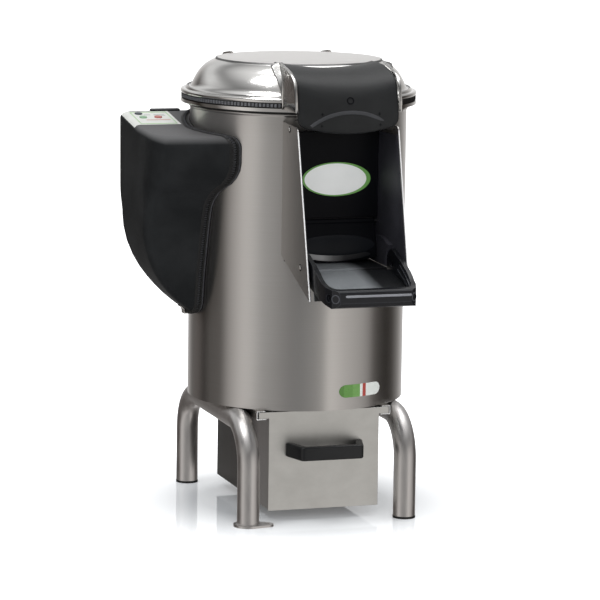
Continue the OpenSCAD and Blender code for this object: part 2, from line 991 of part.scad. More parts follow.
module motor_pulley() {
    color(grey) at_motor(pulley_z) pulley(small_pulley_r, motor_pin_r);
}

module motor_shaft() {
    color(bright) at_motor(236) cylinder(r = motor_pin_r, h = 90);
}

module motor_body() {
    foot = deck_z + deck_t;
    color(grey) difference() {
        union() {
            at_motor(foot) cylinder(r = 66, h = 6);
            at_motor(foot + 6) cylinder(r = motor_r, h = 114);
            at_motor(foot + 120) cylinder(r = 52, h = 8);
        }
        at_motor(foot - 1) cylinder(r = motor_pin_r + run_gap, h = 58);
    }
}

module drive_belt() {
    color(black) translate([0, 0, pulley_z + 6]) linear_extrude(10) difference() {
        hull() {
            circle(big_pulley_r - 0.5, $fn = 96);
            rotate(motor_a) translate([motor_d, 0]) circle(small_pulley_r - 0.5, $fn = 48);
        }
        hull() {
            circle(big_pulley_r - 7, $fn = 96);
            rotate(motor_a) translate([motor_d, 0]) circle(small_pulley_r - 7, $fn = 48);
        }
    }
}

drum_shell();
drum_base();
drive_deck();
chamber_floor();
abrasive_liner();
leg_frame_left();
leg_frame_right();
leg_caps();
foot_plate();
drawer_rails();
chute_side_left();
chute_side_right();
chute_cheeks();
chute_back_panel();
chute_floor();
chute_screws();
oval_plate();
flap_pin();
tray_pivots();
waste_duct();
bearing_housing();
shaft_bearings();
shaft_seal();
motor_body();
drive_belt();
water_valve();
casing_cover();
casing_gasket();
casing_fixings();
control_label();
control_board();
contactor();
cable_gland();
hinge_bracket();
hinge_pin();
pill_sticker();
abrasive_plate();
drive_shaft();
plate_pulley();
motor_shaft();
motor_pulley();
lid_dome();
lid_band();
lid_gasket();
hood_side_left();
hood_side_right();
hood_cover();
hood_rivets();
lid_hinge_arms();
discharge_flap();
tray_frame();
tray_floor();
drawer_box();
drawer_front();
drawer_handle();
filter_basket();
drain_pipe();
start_button();
stop_button();
timer_button();
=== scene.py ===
import json
import math

import bmesh
import bpy
from mathutils import Matrix, Vector

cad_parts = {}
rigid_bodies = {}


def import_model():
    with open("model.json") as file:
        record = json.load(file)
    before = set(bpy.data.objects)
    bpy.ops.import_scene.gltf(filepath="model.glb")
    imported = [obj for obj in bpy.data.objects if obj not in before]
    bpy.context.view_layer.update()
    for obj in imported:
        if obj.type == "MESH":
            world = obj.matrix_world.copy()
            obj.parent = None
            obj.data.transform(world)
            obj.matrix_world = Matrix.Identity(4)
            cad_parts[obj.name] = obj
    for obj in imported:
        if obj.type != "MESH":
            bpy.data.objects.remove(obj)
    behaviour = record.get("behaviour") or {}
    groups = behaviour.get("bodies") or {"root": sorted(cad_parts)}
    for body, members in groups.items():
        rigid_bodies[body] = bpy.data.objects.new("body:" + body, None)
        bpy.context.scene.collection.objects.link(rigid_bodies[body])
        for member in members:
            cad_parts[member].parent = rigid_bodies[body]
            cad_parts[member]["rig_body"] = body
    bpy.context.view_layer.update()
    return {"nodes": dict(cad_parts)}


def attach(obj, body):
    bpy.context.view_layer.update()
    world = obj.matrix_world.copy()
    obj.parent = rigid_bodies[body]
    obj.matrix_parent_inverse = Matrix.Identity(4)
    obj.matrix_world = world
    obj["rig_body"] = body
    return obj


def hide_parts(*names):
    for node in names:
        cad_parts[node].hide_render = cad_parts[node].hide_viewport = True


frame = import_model()
nodes = frame["nodes"]

# ---- Camera and studio ----
# A long lens stands six metres off, left of the front and a little above the machine.
# Its focus and the picture's width are in dots, and the sensor's in millimetres.
# The studio is a white floor, three soft lamps, and dark and light screens that only reflections show.
VIEW_SIDE = math.radians(-18.11)
VIEW_UP = math.radians(8.885)
VIEW_ROLL = math.radians(0.81)
VIEW_AWAY = 6.0
VIEW_AIM = Vector((0.0075, -0.0025, 0.3688))
SENSOR = 36
PICTURE = 600
FOCUS = 3302.5
level = math.cos(VIEW_UP)
back = Vector((math.sin(VIEW_SIDE) * level, -math.cos(VIEW_SIDE) * level, math.sin(VIEW_UP)))
side = Vector((math.cos(VIEW_SIDE), math.sin(VIEW_SIDE), 0))
up = back.cross(side)
right = side * math.cos(VIEW_ROLL) + up * math.sin(VIEW_ROLL)
top = up * math.cos(VIEW_ROLL) - side * math.sin(VIEW_ROLL)
lens = bpy.data.cameras.new("camera")
lens.lens = FOCUS * SENSOR / PICTURE
lens.sensor_width = SENSOR
lens.clip_end = 200
camera = bpy.data.objects.new("camera", lens)
bpy.context.scene.collection.objects.link(camera)
camera.matrix_world = Matrix((right, top, back)).transposed().to_4x4()
camera.location = VIEW_AIM + back * VIEW_AWAY
bpy.context.scene.camera = camera
bpy.context.scene.view_settings.view_transform = "Standard"


def srgb(code):
    """A six-digit hex colour as linear red, green, blue and alpha."""
    parts = [int(code[i:i + 2], 16) / 255 for i in (1, 3, 5)]
    return tuple(c / 12.92 if c <= 0.04045 else ((c + 0.055) / 1.055) ** 2.4 for c in parts) + (1,)


def wire(tree, node, links):
    """Gives a node's sockets, by name or index, a value, an output or another node's first output."""
    for socket, value in links.items():
        if isinstance(value, bpy.types.Node):
            value = value.outputs[0]
        if isinstance(value, bpy.types.NodeSocket):
            tree.links.new(value, node.inputs[socket])
        else:
            node.inputs[socket].default_value = value


def add_node(tree, kind, links=None, stops=(), **settings):
    """Adds a node with its settings and links. stops gives a colour ramp its places and hex colours."""
    made = tree.nodes.new(kind)
    for name, value in settings.items():
        setattr(made, name, value)
    if stops:
        elements = made.color_ramp.elements
        while len(elements) < len(stops):
            elements.new(1)
        for element, (place, code) in zip(elements, stops):
            element.position = place
            element.color = srgb(code)
    wire(tree, made, links or {})
    return made


# Screens round the machine, as (degrees round from the camera, negative to its left; how light)
SCREENS = [
    (-180, "#fafafa"), (-160, "#bcb9b7"), (-146, "#6c6967"), (-128, "#6a6461"), (-114, "#231e1b"),
    (-104, "#625e5b"), (-86, "#625e5b"), (-76, "#b6b2af"), (-58, "#eae6e3"), (-48, "#dedbd8"),
    (-36, "#b2b0ae"), (-20, "#a4a2a0"), (-6, "#959392"), (6, "#979695"), (24, "#acaaa8"),
    (31, "#bebcb9"), (37, "#f8f4f0"), (53, "#dcd8d5"), (74, "#c2bfbc"), (84, "#b0acaa"),
    (93, "#66625f"), (103, "#45413e"), (114, "#27231f"), (127, "#423e3b"), (143, "#8e8b89"),
    (162, "#d4d2d0"), (180, "#fafafa"),
]

# A second, higher ring of screens, seen by surfaces that lean back
HIGH_SCREENS = [
    (-180, "#d8d8d8"), (-124, "#e8e8e8"), (-108, "#d0d0d0"), (-94, "#bcbcbc"), (-78, "#949494"),
    (-62, "#4c4c4c"), (60, "#646464"), (110, "#b0b0b0"),
]

# The ceiling, as (sine of the height above the horizon, how light)
CEILING = [(0.5, "#707070"), (0.57, "#868686"), (0.665, "#b2b2b2"), (0.8, "#e6e6e6"), (0.9, "#ffffff")]

world = bpy.data.worlds.new("studio")
bpy.context.scene.world = world
world.use_nodes = True
tree = world.node_tree
way = add_node(tree, "ShaderNodeTexCoord").outputs["Generated"]
turned = add_node(tree, "ShaderNodeVectorRotate", {"Vector": way, "Angle": -VIEW_SIDE},
                  rotation_type="Z_AXIS")
parts = add_node(tree, "ShaderNodeSeparateXYZ", {0: turned})
flipped = add_node(tree, "ShaderNodeMath", {0: parts.outputs["Y"], 1: -1.0}, operation="MULTIPLY")
around = add_node(tree, "ShaderNodeMath", {0: parts.outputs["X"], 1: flipped}, operation="ARCTAN2")
share = add_node(tree, "ShaderNodeMapRange", {0: around, 1: -math.pi, 2: math.pi})
seen, higher = [
    add_node(tree, "ShaderNodeValToRGB", {0: share}, [((turn + 180) / 360, code) for turn, code in ring])
    for ring in (SCREENS, HIGH_SCREENS)]
ceiling = add_node(tree, "ShaderNodeValToRGB", {0: parts.outputs["Z"]}, CEILING)

# The higher ring takes over from the lower one, and the ceiling from both, between these sines
for low, high, layer in ((0.2, 0.36, higher), (0.46, 0.62, ceiling)):
    rise = add_node(tree, "ShaderNodeMapRange", {0: parts.outputs["Z"], 1: low, 2: high})
    seen = add_node(tree, "ShaderNodeMix", {0: rise, 6: seen, 7: layer}, data_type="RGBA").outputs[2]
ray = add_node(tree, "ShaderNodeLightPath")
lit = add_node(tree, "ShaderNodeMix", {0: ray.outputs["Is Glossy Ray"], 6: srgb("#b8b8b8"), 7: seen},
               data_type="RGBA")
white = add_node(tree, "ShaderNodeMix", {0: ray.outputs["Is Camera Ray"], 6: lit.outputs[2], 7: (1, 1, 1, 1)},
                 data_type="RGBA")
wire(tree, tree.nodes["Background"], {0: white.outputs[2]})


def soft_lamp(name, place, aim, size, power):
    """A square area lamp at place, turned to aim."""
    data = bpy.data.lights.new(name, "AREA")
    data.size = size
    data.energy = power
    made = bpy.data.objects.new(name, data)
    made.location = place
    made.rotation_euler = (Vector(aim) - Vector(place)).to_track_quat("-Z", "Y").to_euler()
    bpy.context.scene.collection.objects.link(made)
    return made


soft_lamp("overhead", (0.5, 0.3, 3.4), (0, 0, 0.2), 2.4, 40)
soft_lamp("high_left", (-1.41, -0.53, 3.1), (0, 0, 0.7), 1.0, 28)
soft_lamp("front_fill", (-0.6, -3.6, 1.7), (0, 0, 0.5), 1.6, 50).visible_glossy = False


def new_finish(name, colour, roughness, sockets=None):
    """A material with a Principled shader, and its node tree and shader. sockets names further values."""
    material = bpy.data.materials.new(name)
    material.use_nodes = True
    material.diffuse_color = srgb(colour)
    tree = material.node_tree
    shader = tree.nodes["Principled BSDF"]
    wire(tree, shader, {"Base Color": srgb(colour), "Roughness": roughness, **(sockets or {})})
    return material, tree, shader


# The floor is glossy white acrylic, so it mirrors the feet faintly. Metal shows the screens in its place.
# Its glow grows from 0.17 m off the drum's axis to full at half a metre, so the floor nearer in keeps a
# painted shade.
floor_mesh = bpy.data.meshes.new("floor")
bm = bmesh.new()
bmesh.ops.create_grid(bm, x_segments=1, y_segments=1, size=60)
bm.to_mesh(floor_mesh)
bm.free()
floor = bpy.data.objects.new("floor", floor_mesh)
bpy.context.scene.collection.objects.link(floor)
floor.visible_glossy = False
floor_white, tree, shader = new_finish("white_acrylic_floor", "#eef2f6", 0.03, {"IOR": 1.45})
ray = add_node(tree, "ShaderNodeLightPath")
place = add_node(tree, "ShaderNodeTexCoord").outputs["Object"]
away = add_node(tree, "ShaderNodeVectorMath", {0: place}, operation="LENGTH").outputs["Value"]
lift = add_node(tree, "ShaderNodeMapRange", {0: away, 1: 0.17, 2: 0.5, 3: 0.0, 4: 0.95})
glow = add_node(tree, "ShaderNodeMath", {0: ray.outputs["Is Camera Ray"], 1: lift}, operation="MULTIPLY")
wire(tree, shader, {"Emission Color": (1, 1, 1, 1), "Emission Strength": glow})
floor_mesh.materials.append(floor_white)

# ---- Drum ----
# The drum is a rolled and welded stainless sheet with a rolled lip, ground round its girth.
# The discharge gate is cut in its front.
DRUM_R = 195
DRUM_WALL = 2
DRUM_LOW = 200
LIP_Z = 724.5
LIP_ROLL = 2.5
GATE = (468, 540)
DRUM_STEPS = 128
GATE_STEPS = 8


def at(x, y, z):
    """A point given in millimetres."""
    return Vector((x, y, z)) * 0.001


def spun(outline, steps):
    """A bmesh turned on the drum's axis from a closed outline of (radius, height) in millimetres."""
    bm = bmesh.new()
    ends = [bm.verts.new(at(radius, 0, height)) for radius, height in outline]
    edges = [bm.edges.new(pair) for pair in zip(ends, ends[1:] + ends[:1])]
    bmesh.ops.spin(bm, geom=ends + edges, cent=(0, 0, 0), axis=(0, 0, 1), angle=math.tau, steps=steps,
                   use_merge=True)
    bmesh.ops.remove_doubles(bm, verts=bm.verts, dist=0.000001)
    bmesh.ops.recalc_face_normals(bm, faces=bm.faces)
    return bm


def new_piece(name, bm, material, body, *stands_for, slot=None, sharp=35):
    """A piece from a bmesh, in place, riding on a body and standing for CAD nodes."""
    for edge in bm.edges:
        edge.smooth = edge.calc_face_angle(0.0) < math.radians(sharp)
    for face in bm.faces:
        face.smooth = True
    mesh = bpy.data.meshes.new(name)
    bm.to_mesh(mesh)
    bm.free()
    for one in material if isinstance(material, tuple) else (material,):
        mesh.materials.append(one)
    made = bpy.data.objects.new(name, mesh)
    bpy.context.scene.collection.objects.link(made)
    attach(made, body)
    if stands_for:
        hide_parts(*stands_for)
    return made


def brushed_steel(name, colours, roughness, streak, turned=False, anisotropic=0.0, bump=0.06, wear=0.15,
                  metallic=1.0):
    """Ground stainless, darker and lighter along scratches of the size streak, in millimetres on X, Y and Z.
    Real scratches are about 0.1 mm wide, and streak draws them coarser, so that they show.
    Where it is turned, they run round the drum's axis: X counts along the girth.
    wear is how far the roughness changes from scratch to scratch, as a share."""
    sockets = {"Metallic": metallic, "Anisotropic": anisotropic}
    material, tree, shader = new_finish(name, colours[1], roughness, sockets)
    place = add_node(tree, "ShaderNodeTexCoord").outputs["Object"]
    pitch = [1000 / size for size in streak]
    if turned:
        x, y, z = add_node(tree, "ShaderNodeSeparateXYZ", {0: place}).outputs
        about = add_node(tree, "ShaderNodeMath", {0: y, 1: x}, operation="ARCTAN2")
        place = add_node(tree, "ShaderNodeCombineXYZ", {0: about, 2: z})
        pitch[0] *= DRUM_R * 0.001
    if anisotropic:
        tangent = add_node(tree, "ShaderNodeTangent", direction_type="RADIAL", axis="Z")
        wire(tree, shader, {"Anisotropic Rotation": 0.25, "Tangent": tangent})
    spread = add_node(tree, "ShaderNodeMapping", {0: place, 3: pitch})
    scratch = add_node(tree, "ShaderNodeTexNoise", {0: spread, "Scale": 1.0, "Detail": 3.0})
    smooth = roughness * (1 - wear)
    rough = roughness * (1 + wear)
    tints = [(0.3, colours[0]), (0.7, colours[1])]
    wire(tree, shader, {
        "Base Color": add_node(tree, "ShaderNodeValToRGB", {0: scratch}, tints),
        "Roughness": add_node(tree, "ShaderNodeMapRange", {0: scratch, 1: 0.3, 2: 0.7, 3: smooth, 4: rough}),
        "Normal": add_node(tree, "ShaderNodeBump", {"Height": scratch, "Strength": bump, "Distance": 0.0002}),
    })
    return material


# The grain is drawn at 1.6 mm and shows as faint level lines. It stretches each light that the drum mirrors
# into an upright band.
drum_steel = brushed_steel("brushed_stainless_drum", ("#c7c5c2", "#cac8c6"), 0.3, (120, 1.6, 1.6), True, 0.85,
                           0.001, 0.03)
inner = DRUM_R - DRUM_WALL
outline = [(DRUM_R, DRUM_LOW), (DRUM_R, GATE[0]), (DRUM_R, GATE[1]), (DRUM_R, LIP_Z - 4.5),
           (DRUM_R + 1, LIP_Z - 2.4)]
for step in range(9):
    turn = math.radians(-60 + 30 * step)
    outline.append((DRUM_R + LIP_ROLL * math.cos(turn), LIP_Z + LIP_ROLL * math.sin(turn)))
outline += [(inner, LIP_Z - 3), (inner, GATE[1]), (inner, GATE[0]), (inner, DRUM_LOW)]
bm = spun(outline, DRUM_STEPS)
open_half = math.tau / DRUM_STEPS * GATE_STEPS
doomed = []
for face in bm.faces:
    middle = face.calc_center_median()
    if abs(math.atan2(middle.x, -middle.y)) < open_half and GATE[0] < middle.z * 1000 < GATE[1]:
        doomed.append(face)
bmesh.ops.delete(bm, geom=doomed, context="FACES")
bmesh.ops.bridge_loops(bm, edges=[edge for edge in bm.edges if edge.is_boundary])
new_piece("drum_wall", bm, drum_steel, "frame", "drum_shell", slot="drum_steel")

# ---- Inside the drum ----
# Welded decks, the gritted liner and plate, the bearing housing, motor, pulleys and belt.
# They are hidden while the lid is shut. The cast parts are painted and the machined ones are left bright.


def cast_finish(name, colours, roughness, grain, depth):
    """A cast, gritted or rubber surface, with lumps of the size grain and of a depth, in millimetres."""
    material, tree, shader = new_finish(name, colours[1], roughness)
    place = add_node(tree, "ShaderNodeTexCoord").outputs["Object"]
    lumps = add_node(tree, "ShaderNodeTexNoise", {0: place, "Scale": 1000 / grain, "Detail": 3.0})
    bumps = {"Height": lumps, "Strength": 0.5, "Distance": depth * 0.001}
    tints = [(0.35, colours[0]), (0.65, colours[1])]
    wire(tree, shader, {
        "Base Color": add_node(tree, "ShaderNodeValToRGB", {0: lumps}, tints),
        "Normal": add_node(tree, "ShaderNodeBump", bumps),
    })
    return material


# Sheet has soft upright streaks, grit is dull and lumpy, paint is a satin grey and turned steel a bright one
sheet_steel = brushed_steel("ground_stainless_sheet", ("#b2ada8", "#c6c2bd"), 0.34, (1.6, 1.6, 40))
grit = cast_finish("silicon_carbide_grit", ("#3d3a36", "#6a655d"), 0.9, 2.4, 1.2)
cast_iron = cast_finish("painted_cast_iron", ("#4c5155", "#5d6367"), 0.5, 6, 0.4)
turned_steel = brushed_steel("turned_bright_steel", ("#b4b2af", "#d2d0cd"), 0.25, (40, 1.5, 1.5), True)

# Rubber is black with a dull sheen
seal_rubber = cast_finish("black_nitrile_rubber", ("#121213", "#1c1c1d"), 0.6, 3, 0.1)


def merged_node(node):
    """A bmesh of a CAD node, with its triangles merged."""
    bm = bmesh.new()
    bm.from_mesh(nodes[node].data)
    bmesh.ops.remove_doubles(bm, verts=bm.verts, dist=0.00001)
    return bm


def smoothed_copy(node, name, material):
    """A piece that repeats a CAD node, with its round faces shaded smooth."""
    return new_piece(name, merged_node(node), material, nodes[node]["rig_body"], node)


def give(finish, *names):
    """Gives CAD nodes that stay as they are their material."""
    for name in names:
        nodes[name].data.materials.clear()
        nodes[name].data.materials.append(finish)


give(sheet_steel, "drum_base", "drive_deck", "chamber_floor", "waste_duct")
give(grit, "abrasive_liner")
give(turned_steel, "shaft_bearings", "drive_shaft", "motor_shaft")
give(seal_rubber, "shaft_seal", "drive_belt")
smoothed_copy("abrasive_plate", "gritted_plate", grit)
smoothed_copy("bearing_housing", "cast_bearing_housing", cast_iron)
smoothed_copy("motor_body", "motor_case", cast_iron)
smoothed_copy("plate_pulley", "cast_plate_pulley", cast_iron)
smoothed_copy("motor_pulley", "cast_motor_pulley", cast_iron)

# ---- Badge on the drum ----
# A printed pill-shaped film near the drum's foot: green, white, a thin red stripe and white again.
# It is satin, with a gloss that wear has made uneven.
BADGE_TURN = math.radians(19.4)
BADGE_HALF = 0.046
BADGE_Z = 233
BANDS = [(0.0, "#527f38"), (0.1, "#629247"), (0.3, "#71a056"), (0.465, "#e9ece6"), (0.53, "#b2473f"),
         (0.61, "#e9ece6")]
badge_film, tree, shader = new_finish("printed_badge_film", "#e9ece6", 0.3)
place = add_node(tree, "ShaderNodeTexCoord").outputs["Object"]
level = (math.cos(BADGE_TURN), math.sin(BADGE_TURN), 0)
across = add_node(tree, "ShaderNodeVectorMath", {0: place, 1: level}, operation="DOT_PRODUCT")
share = add_node(tree, "ShaderNodeMapRange", {0: across.outputs["Value"], 1: -BADGE_HALF, 2: BADGE_HALF})
ink = add_node(tree, "ShaderNodeValToRGB", {0: share}, BANDS)
ink.color_ramp.interpolation = "CONSTANT"
mottle = add_node(tree, "ShaderNodeTexNoise", {0: place, "Scale": 260.0, "Detail": 1.0})
gloss = add_node(tree, "ShaderNodeMapRange", {0: mottle, 1: 0.3, 2: 0.7, 3: 0.26, 4: 0.36})
wire(tree, shader, {"Base Color": ink, "Roughness": gloss})

# The film is drawn a sixth less high than the solid's
badge = smoothed_copy("pill_sticker", "badge", badge_film)
lower = Matrix.Diagonal((1, 1, 0.84, 1))
badge.data.transform(Matrix.Translation(at(0, 0, BADGE_Z)) @ lower @ Matrix.Translation(at(0, 0, -BADGE_Z)))

# ---- Legs ----
# Two stainless tubes, each bent to a pair of legs that passes under the drum, with plugged feet.
# The front left foot has a bolting plate instead of a plug. Fine grinding leaves the tube pale and satin.
tube_steel = brushed_steel("satin_stainless_tube", ("#cfcccb", "#dad8d6"), 0.38, (12, 12, 40), bump=0.01)
smoothed_copy("leg_frame_left", "left_legs", tube_steel)
smoothed_copy("leg_frame_right", "right_legs", tube_steel)
smoothed_copy("foot_plate", "bolting_foot", tube_steel)
smoothed_copy("leg_caps", "foot_plugs", seal_rubber)

# ---- Drawer ----
# A folded stainless box hangs by its flanges in two rails under the drum, behind a flat front.
# Its handle is a moulded nylon bar, and a perforated basket inside catches the peel.
SHARP_CORNER = 28


def rounded_copy(node, name, width, material, segments=2):
    """A piece that repeats a CAD node with its corners rounded by width, in millimetres."""
    bm = merged_node(node)
    bmesh.ops.dissolve_limit(bm, angle_limit=math.radians(0.6), verts=bm.verts, edges=bm.edges)
    made = new_piece(name, bm, material, nodes[node]["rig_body"], node, sharp=SHARP_CORNER)
    rounding = made.modifiers.new("rounding", "BEVEL")
    rounding.width = width * 0.001
    rounding.segments = segments
    rounding.limit_method = "ANGLE"
    rounding.angle_limit = math.radians(SHARP_CORNER)
    rounding.harden_normals = True
    return made


def fade(material, axis, start, end, code, source=("ShaderNodeTexCoord", "Object")):
    """Lets a finish turn to another colour along an axis, between two values of what source gives."""
    tree = material.node_tree
    base = tree.nodes["Principled BSDF"].inputs["Base Color"]
    parts = add_node(tree, "ShaderNodeSeparateXYZ", {0: add_node(tree, source[0]).outputs[source[1]]})
    share = add_node(tree, "ShaderNodeMapRange", {0: parts.outputs[axis], 1: start, 2: end})
    mixed = add_node(tree, "ShaderNodeMix", {0: share, 6: base.links[0].from_socket, 7: srgb(code)},
                     data_type="RGBA")
    tree.links.new(mixed.outputs[2], base)


def moulded_plastic(name, colours, roughness, grain, depth, specular):
    """Moulded plastic, whose colour drifts a little. Its spark-eroded grain and depth are in millimetres.
    Real grain is about 0.3 mm wide and is drawn coarser, so that it shows."""
    material, tree, shader = new_finish(name, colours[1], roughness, {"Specular IOR Level": specular})
    place = add_node(tree, "ShaderNodeTexCoord").outputs["Object"]
    pits = add_node(tree, "ShaderNodeTexNoise", {0: place, "Scale": 1000 / grain, "Detail": 2.0})
    cloud = add_node(tree, "ShaderNodeTexNoise", {0: place, "Scale": 14.0, "Detail": 3.0})
    gloss = {0: pits, 1: 0.3, 2: 0.7, 3: roughness * 0.9, 4: roughness * 1.1}
    bumps = {"Height": pits, "Strength": 0.35, "Distance": depth * 0.001}
    tints = [(0.35, colours[0]), (0.65, colours[1])]
    wire(tree, shader, {
        "Base Color": add_node(tree, "ShaderNodeValToRGB", {0: cloud}, tints),
        "Roughness": add_node(tree, "ShaderNodeMapRange", gloss),
        "Normal": add_node(tree, "ShaderNodeBump", bumps),
    })
    return material


# The front is an even pale grey. The box is painted dark as shade under the drum, and paler towards its front
# edge, as painted light.
front_steel = brushed_steel("ground_stainless_front", ("#c8c8c5", "#d8d8d5"), 0.38, (40, 30, 30),
                            bump=0.01, wear=0.08)
painted_shade_drawer_steel = brushed_steel("drawer_steel_painted_shade_and_light", ("#686868", "#70706f"), 0.4, (20, 20, 40),
                             bump=0.01, wear=0.03)
fade(painted_shade_drawer_steel, "Y", -0.055, -0.11, "#d2d2d2")
rounded_copy("drawer_box", "folded_drawer", 0.7, painted_shade_drawer_steel)
rounded_copy("drawer_front", "drawer_plate", 0.7, front_steel)

# A sheared edge is painted nearly white and matt, as a painted highlight along it
edge_highlight_steel, tree, shader = new_finish("steel_edge_painted_highlight", "#f8f7f5", 0.4, {"Metallic": 0.15})
place = add_node(tree, "ShaderNodeTexCoord").outputs["Object"]
burr = add_node(tree, "ShaderNodeTexNoise", {0: place, "Scale": 300.0})
tint = add_node(tree, "ShaderNodeValToRGB", {0: burr}, [(0.3, "#f0efed"), (0.7, "#ffffff")])
wire(tree, shader, {"Base Color": tint})
made = rounded_copy("drawer_rails", "folded_rails", 0.3, (sheet_steel, edge_highlight_steel), 1)
# The rails' front-facing cut edges take the painted highlight
for face in made.data.polygons:
    if face.normal.y < -0.9:
        face.material_index = 1

# Nylon is black with a fine grain and a soft sheen, and the drain's plastic is a plain satin grey
nylon = moulded_plastic("black_nylon", ("#101113", "#17181a"), 0.38, 1.4, 0.08, 0.4)
pipe_grey = moulded_plastic("grey_pvc_pipe", ("#6c6d70", "#77787b"), 0.4, 2, 0.05, 0.5)
rounded_copy("drawer_handle", "drawer_grip", 3, nylon, 3)
give(sheet_steel, "filter_basket")
smoothed_copy("drain_pipe", "drain_spigot", pipe_grey)

# ---- Chute ----
# Two folded stainless cheeks flank the opening, lined with black plastic, with a black panel between them.
# The oval plate is a bare pale printed badge with a green rim, and the flap hangs below it over the gate.
SPLAY = math.radians(3.4)
CHEEK_X = 92
FOLD_Y = -330


def cheek_lean(x, y, z):
    """How far the fitted cheek stands from its nominal place at a point, on X in millimetres."""
    tall = (z - 427) / 266
    out = min(1.1, max(0.0, (-175 - y) / (113 + 0.2836 * (700 - z))))
    return (-2.5 * (1 - out) - (0.8 + 3.6 * tall) * out) if x < 0 else (8.2 * tall - 6.8) * out


def settled(made, lean):
    """Moves a piece's vertices on X by what lean gives for each."""
    for vert in made.data.vertices:
        vert.co.x += 0.001 * lean(*(vert.co * 1000))
    return made


# The cheeks are an even satin grey, ground upright. The lining is charcoal, and the panel is a dull black.
plate_steel = brushed_steel("ground_stainless_cheek", ("#b3b1af", "#b8b6b4"), 0.38, (6, 6, 60),
                            bump=0.005, wear=0.03)
liner_plastic = moulded_plastic("black_liner_abs", ("#2a2a30", "#34343a"), 0.5, 1.6, 0.08, 0.35)
panel_plastic = moulded_plastic("black_panel_abs", ("#050609", "#08090d"), 0.45, 1.6, 0.06, 0.12)

# A cheek's front fold is drawn 2.8 mm narrower than the solid's. Its outer two millimetres are a painted
# highlight, and the rest of it is dark.
for facing, name in ((-1, "left"), (1, "right")):
    made = rounded_copy("chute_side_" + name, "chute_cheek_" + name, 0.3,
                        (plate_steel, edge_highlight_steel, liner_plastic), 1)
    for vert in made.data.vertices:
        place = vert.co * 1000
        inset = CHEEK_X - (place.y - FOLD_Y) * math.tan(SPLAY) - abs(place.x)
        if inset > 3:
            vert.co.x += facing * 0.0028
    bm = bmesh.new()
    bm.from_mesh(made.data)
    bmesh.ops.bisect_plane(bm, geom=bm.verts[:] + bm.edges[:] + bm.faces[:],
                           plane_co=at(facing * (CHEEK_X - 2), FOLD_Y, 0),
                           plane_no=(facing * math.cos(SPLAY), math.sin(SPLAY), 0))
    for face in bm.faces:
        if face.normal.y < -0.9:
            middle = face.calc_center_median() - at(0, FOLD_Y, 0)
            face.material_index = 1 if abs(middle.x) + middle.y * math.sin(SPLAY) > 0.09 else 2
    bm.to_mesh(made.data)
    bm.free()
    settled(made, cheek_lean)
settled(rounded_copy("chute_cheeks", "cheek_liners", 0.8, liner_plastic), cheek_lean)
rounded_copy("chute_back_panel", "chute_panel", 0.8, panel_plastic)
rounded_copy("discharge_flap", "swing_flap", 1.0, panel_plastic)

# The sill's steel is dull and scratched, and right of the middle it is painted black as the arm's shadow. Its
# apron is a darker steel, painted shade under the tray.
worn_steel_painted_shadow = brushed_steel("worn_tray_steel_painted_shadow", ("#84888c", "#94989c"), 0.45, (1.8, 40, 1.8), bump=0.02,
                           metallic=0.35)
fade(worn_steel_painted_shadow, "X", 0.006, 0.032, "#141518")
shade_steel = brushed_steel("steel_painted_shade", ("#686868", "#70706f"), 0.4, (20, 20, 40),
                          bump=0.01, wear=0.03)


def lip_lean(x, y, z):
    """How far the sill is moved on X, in millimetres. Its right rear corner meets the leaning cheek."""
    return 3.4 if x > 50 and y > -285 and z > 460 else -1.5


made = settled(rounded_copy("chute_floor", "chute_lip", 0.3, (worn_steel_painted_shadow, shade_steel), 1), lip_lean)
for face in made.data.polygons:
    if face.normal.y < -0.8 and face.center.z < 0.456:
        face.material_index = 1


def add_block(bm, size, middle):
    """Adds to bm a block of that size round its middle, in millimetres."""
    corners = bmesh.ops.create_cube(bm, size=0.001)["verts"]
    bmesh.ops.scale(bm, vec=size, verts=corners)
    bmesh.ops.translate(bm, vec=at(*middle), verts=corners)


def move_to(bm, spot, turn, axis):
    """Turns a bmesh by that many degrees about an axis and carries it to spot, in millimetres."""
    way = Matrix.Translation(at(*spot)) @ Matrix.Rotation(math.radians(turn), 4, axis)
    bmesh.ops.transform(bm, matrix=way, verts=bm.verts)


# A black rubber strip behind the flap's pin closes the slot under the panel, as painted shade in the slot
bm = bmesh.new()
add_block(bm, (146, 1.5, 12), (0, -205.6, 548.5))
new_piece("slot_shade_strip", bm, seal_rubber, "frame", slot="rubber_black")

# The flap's lower half is a bulged lens, painted a little paler than the flap as its sheen
FLAP_TILT = 78
LENS_Z = 499.5


def bulge(reach, spot, halved):
    """A bmesh of a spheroid that lies on the flap, with half its widths given. Halved, its back is flat."""
    bm = bmesh.new()
    bmesh.ops.create_uvsphere(bm, u_segments=64, v_segments=32, radius=1)
    if halved:
        bmesh.ops.bisect_plane(bm, geom=bm.verts[:] + bm.edges[:] + bm.faces[:], plane_co=(0, 0, 0),
                               plane_no=(0, 0, -1), clear_outer=True)
        bmesh.ops.contextual_create(bm, geom=[edge for edge in bm.edges if edge.is_boundary])
    bmesh.ops.scale(bm, vec=at(*reach), verts=bm.verts)
    move_to(bm, spot, FLAP_TILT, "X")
    bmesh.ops.recalc_face_normals(bm, faces=bm.faces)
    return bm


lens_sheen_plastic = moulded_plastic("flap_lens_painted_sheen_abs", ("#0e1014", "#14161a"), 0.4, 1.6, 0.05, 0.2)
bm = bulge((73, 18.6, 3), (0, -225.4, LENS_Z), True)
new_piece("flap_lens", bm, lens_sheen_plastic, "flap", slot="panel_lining")
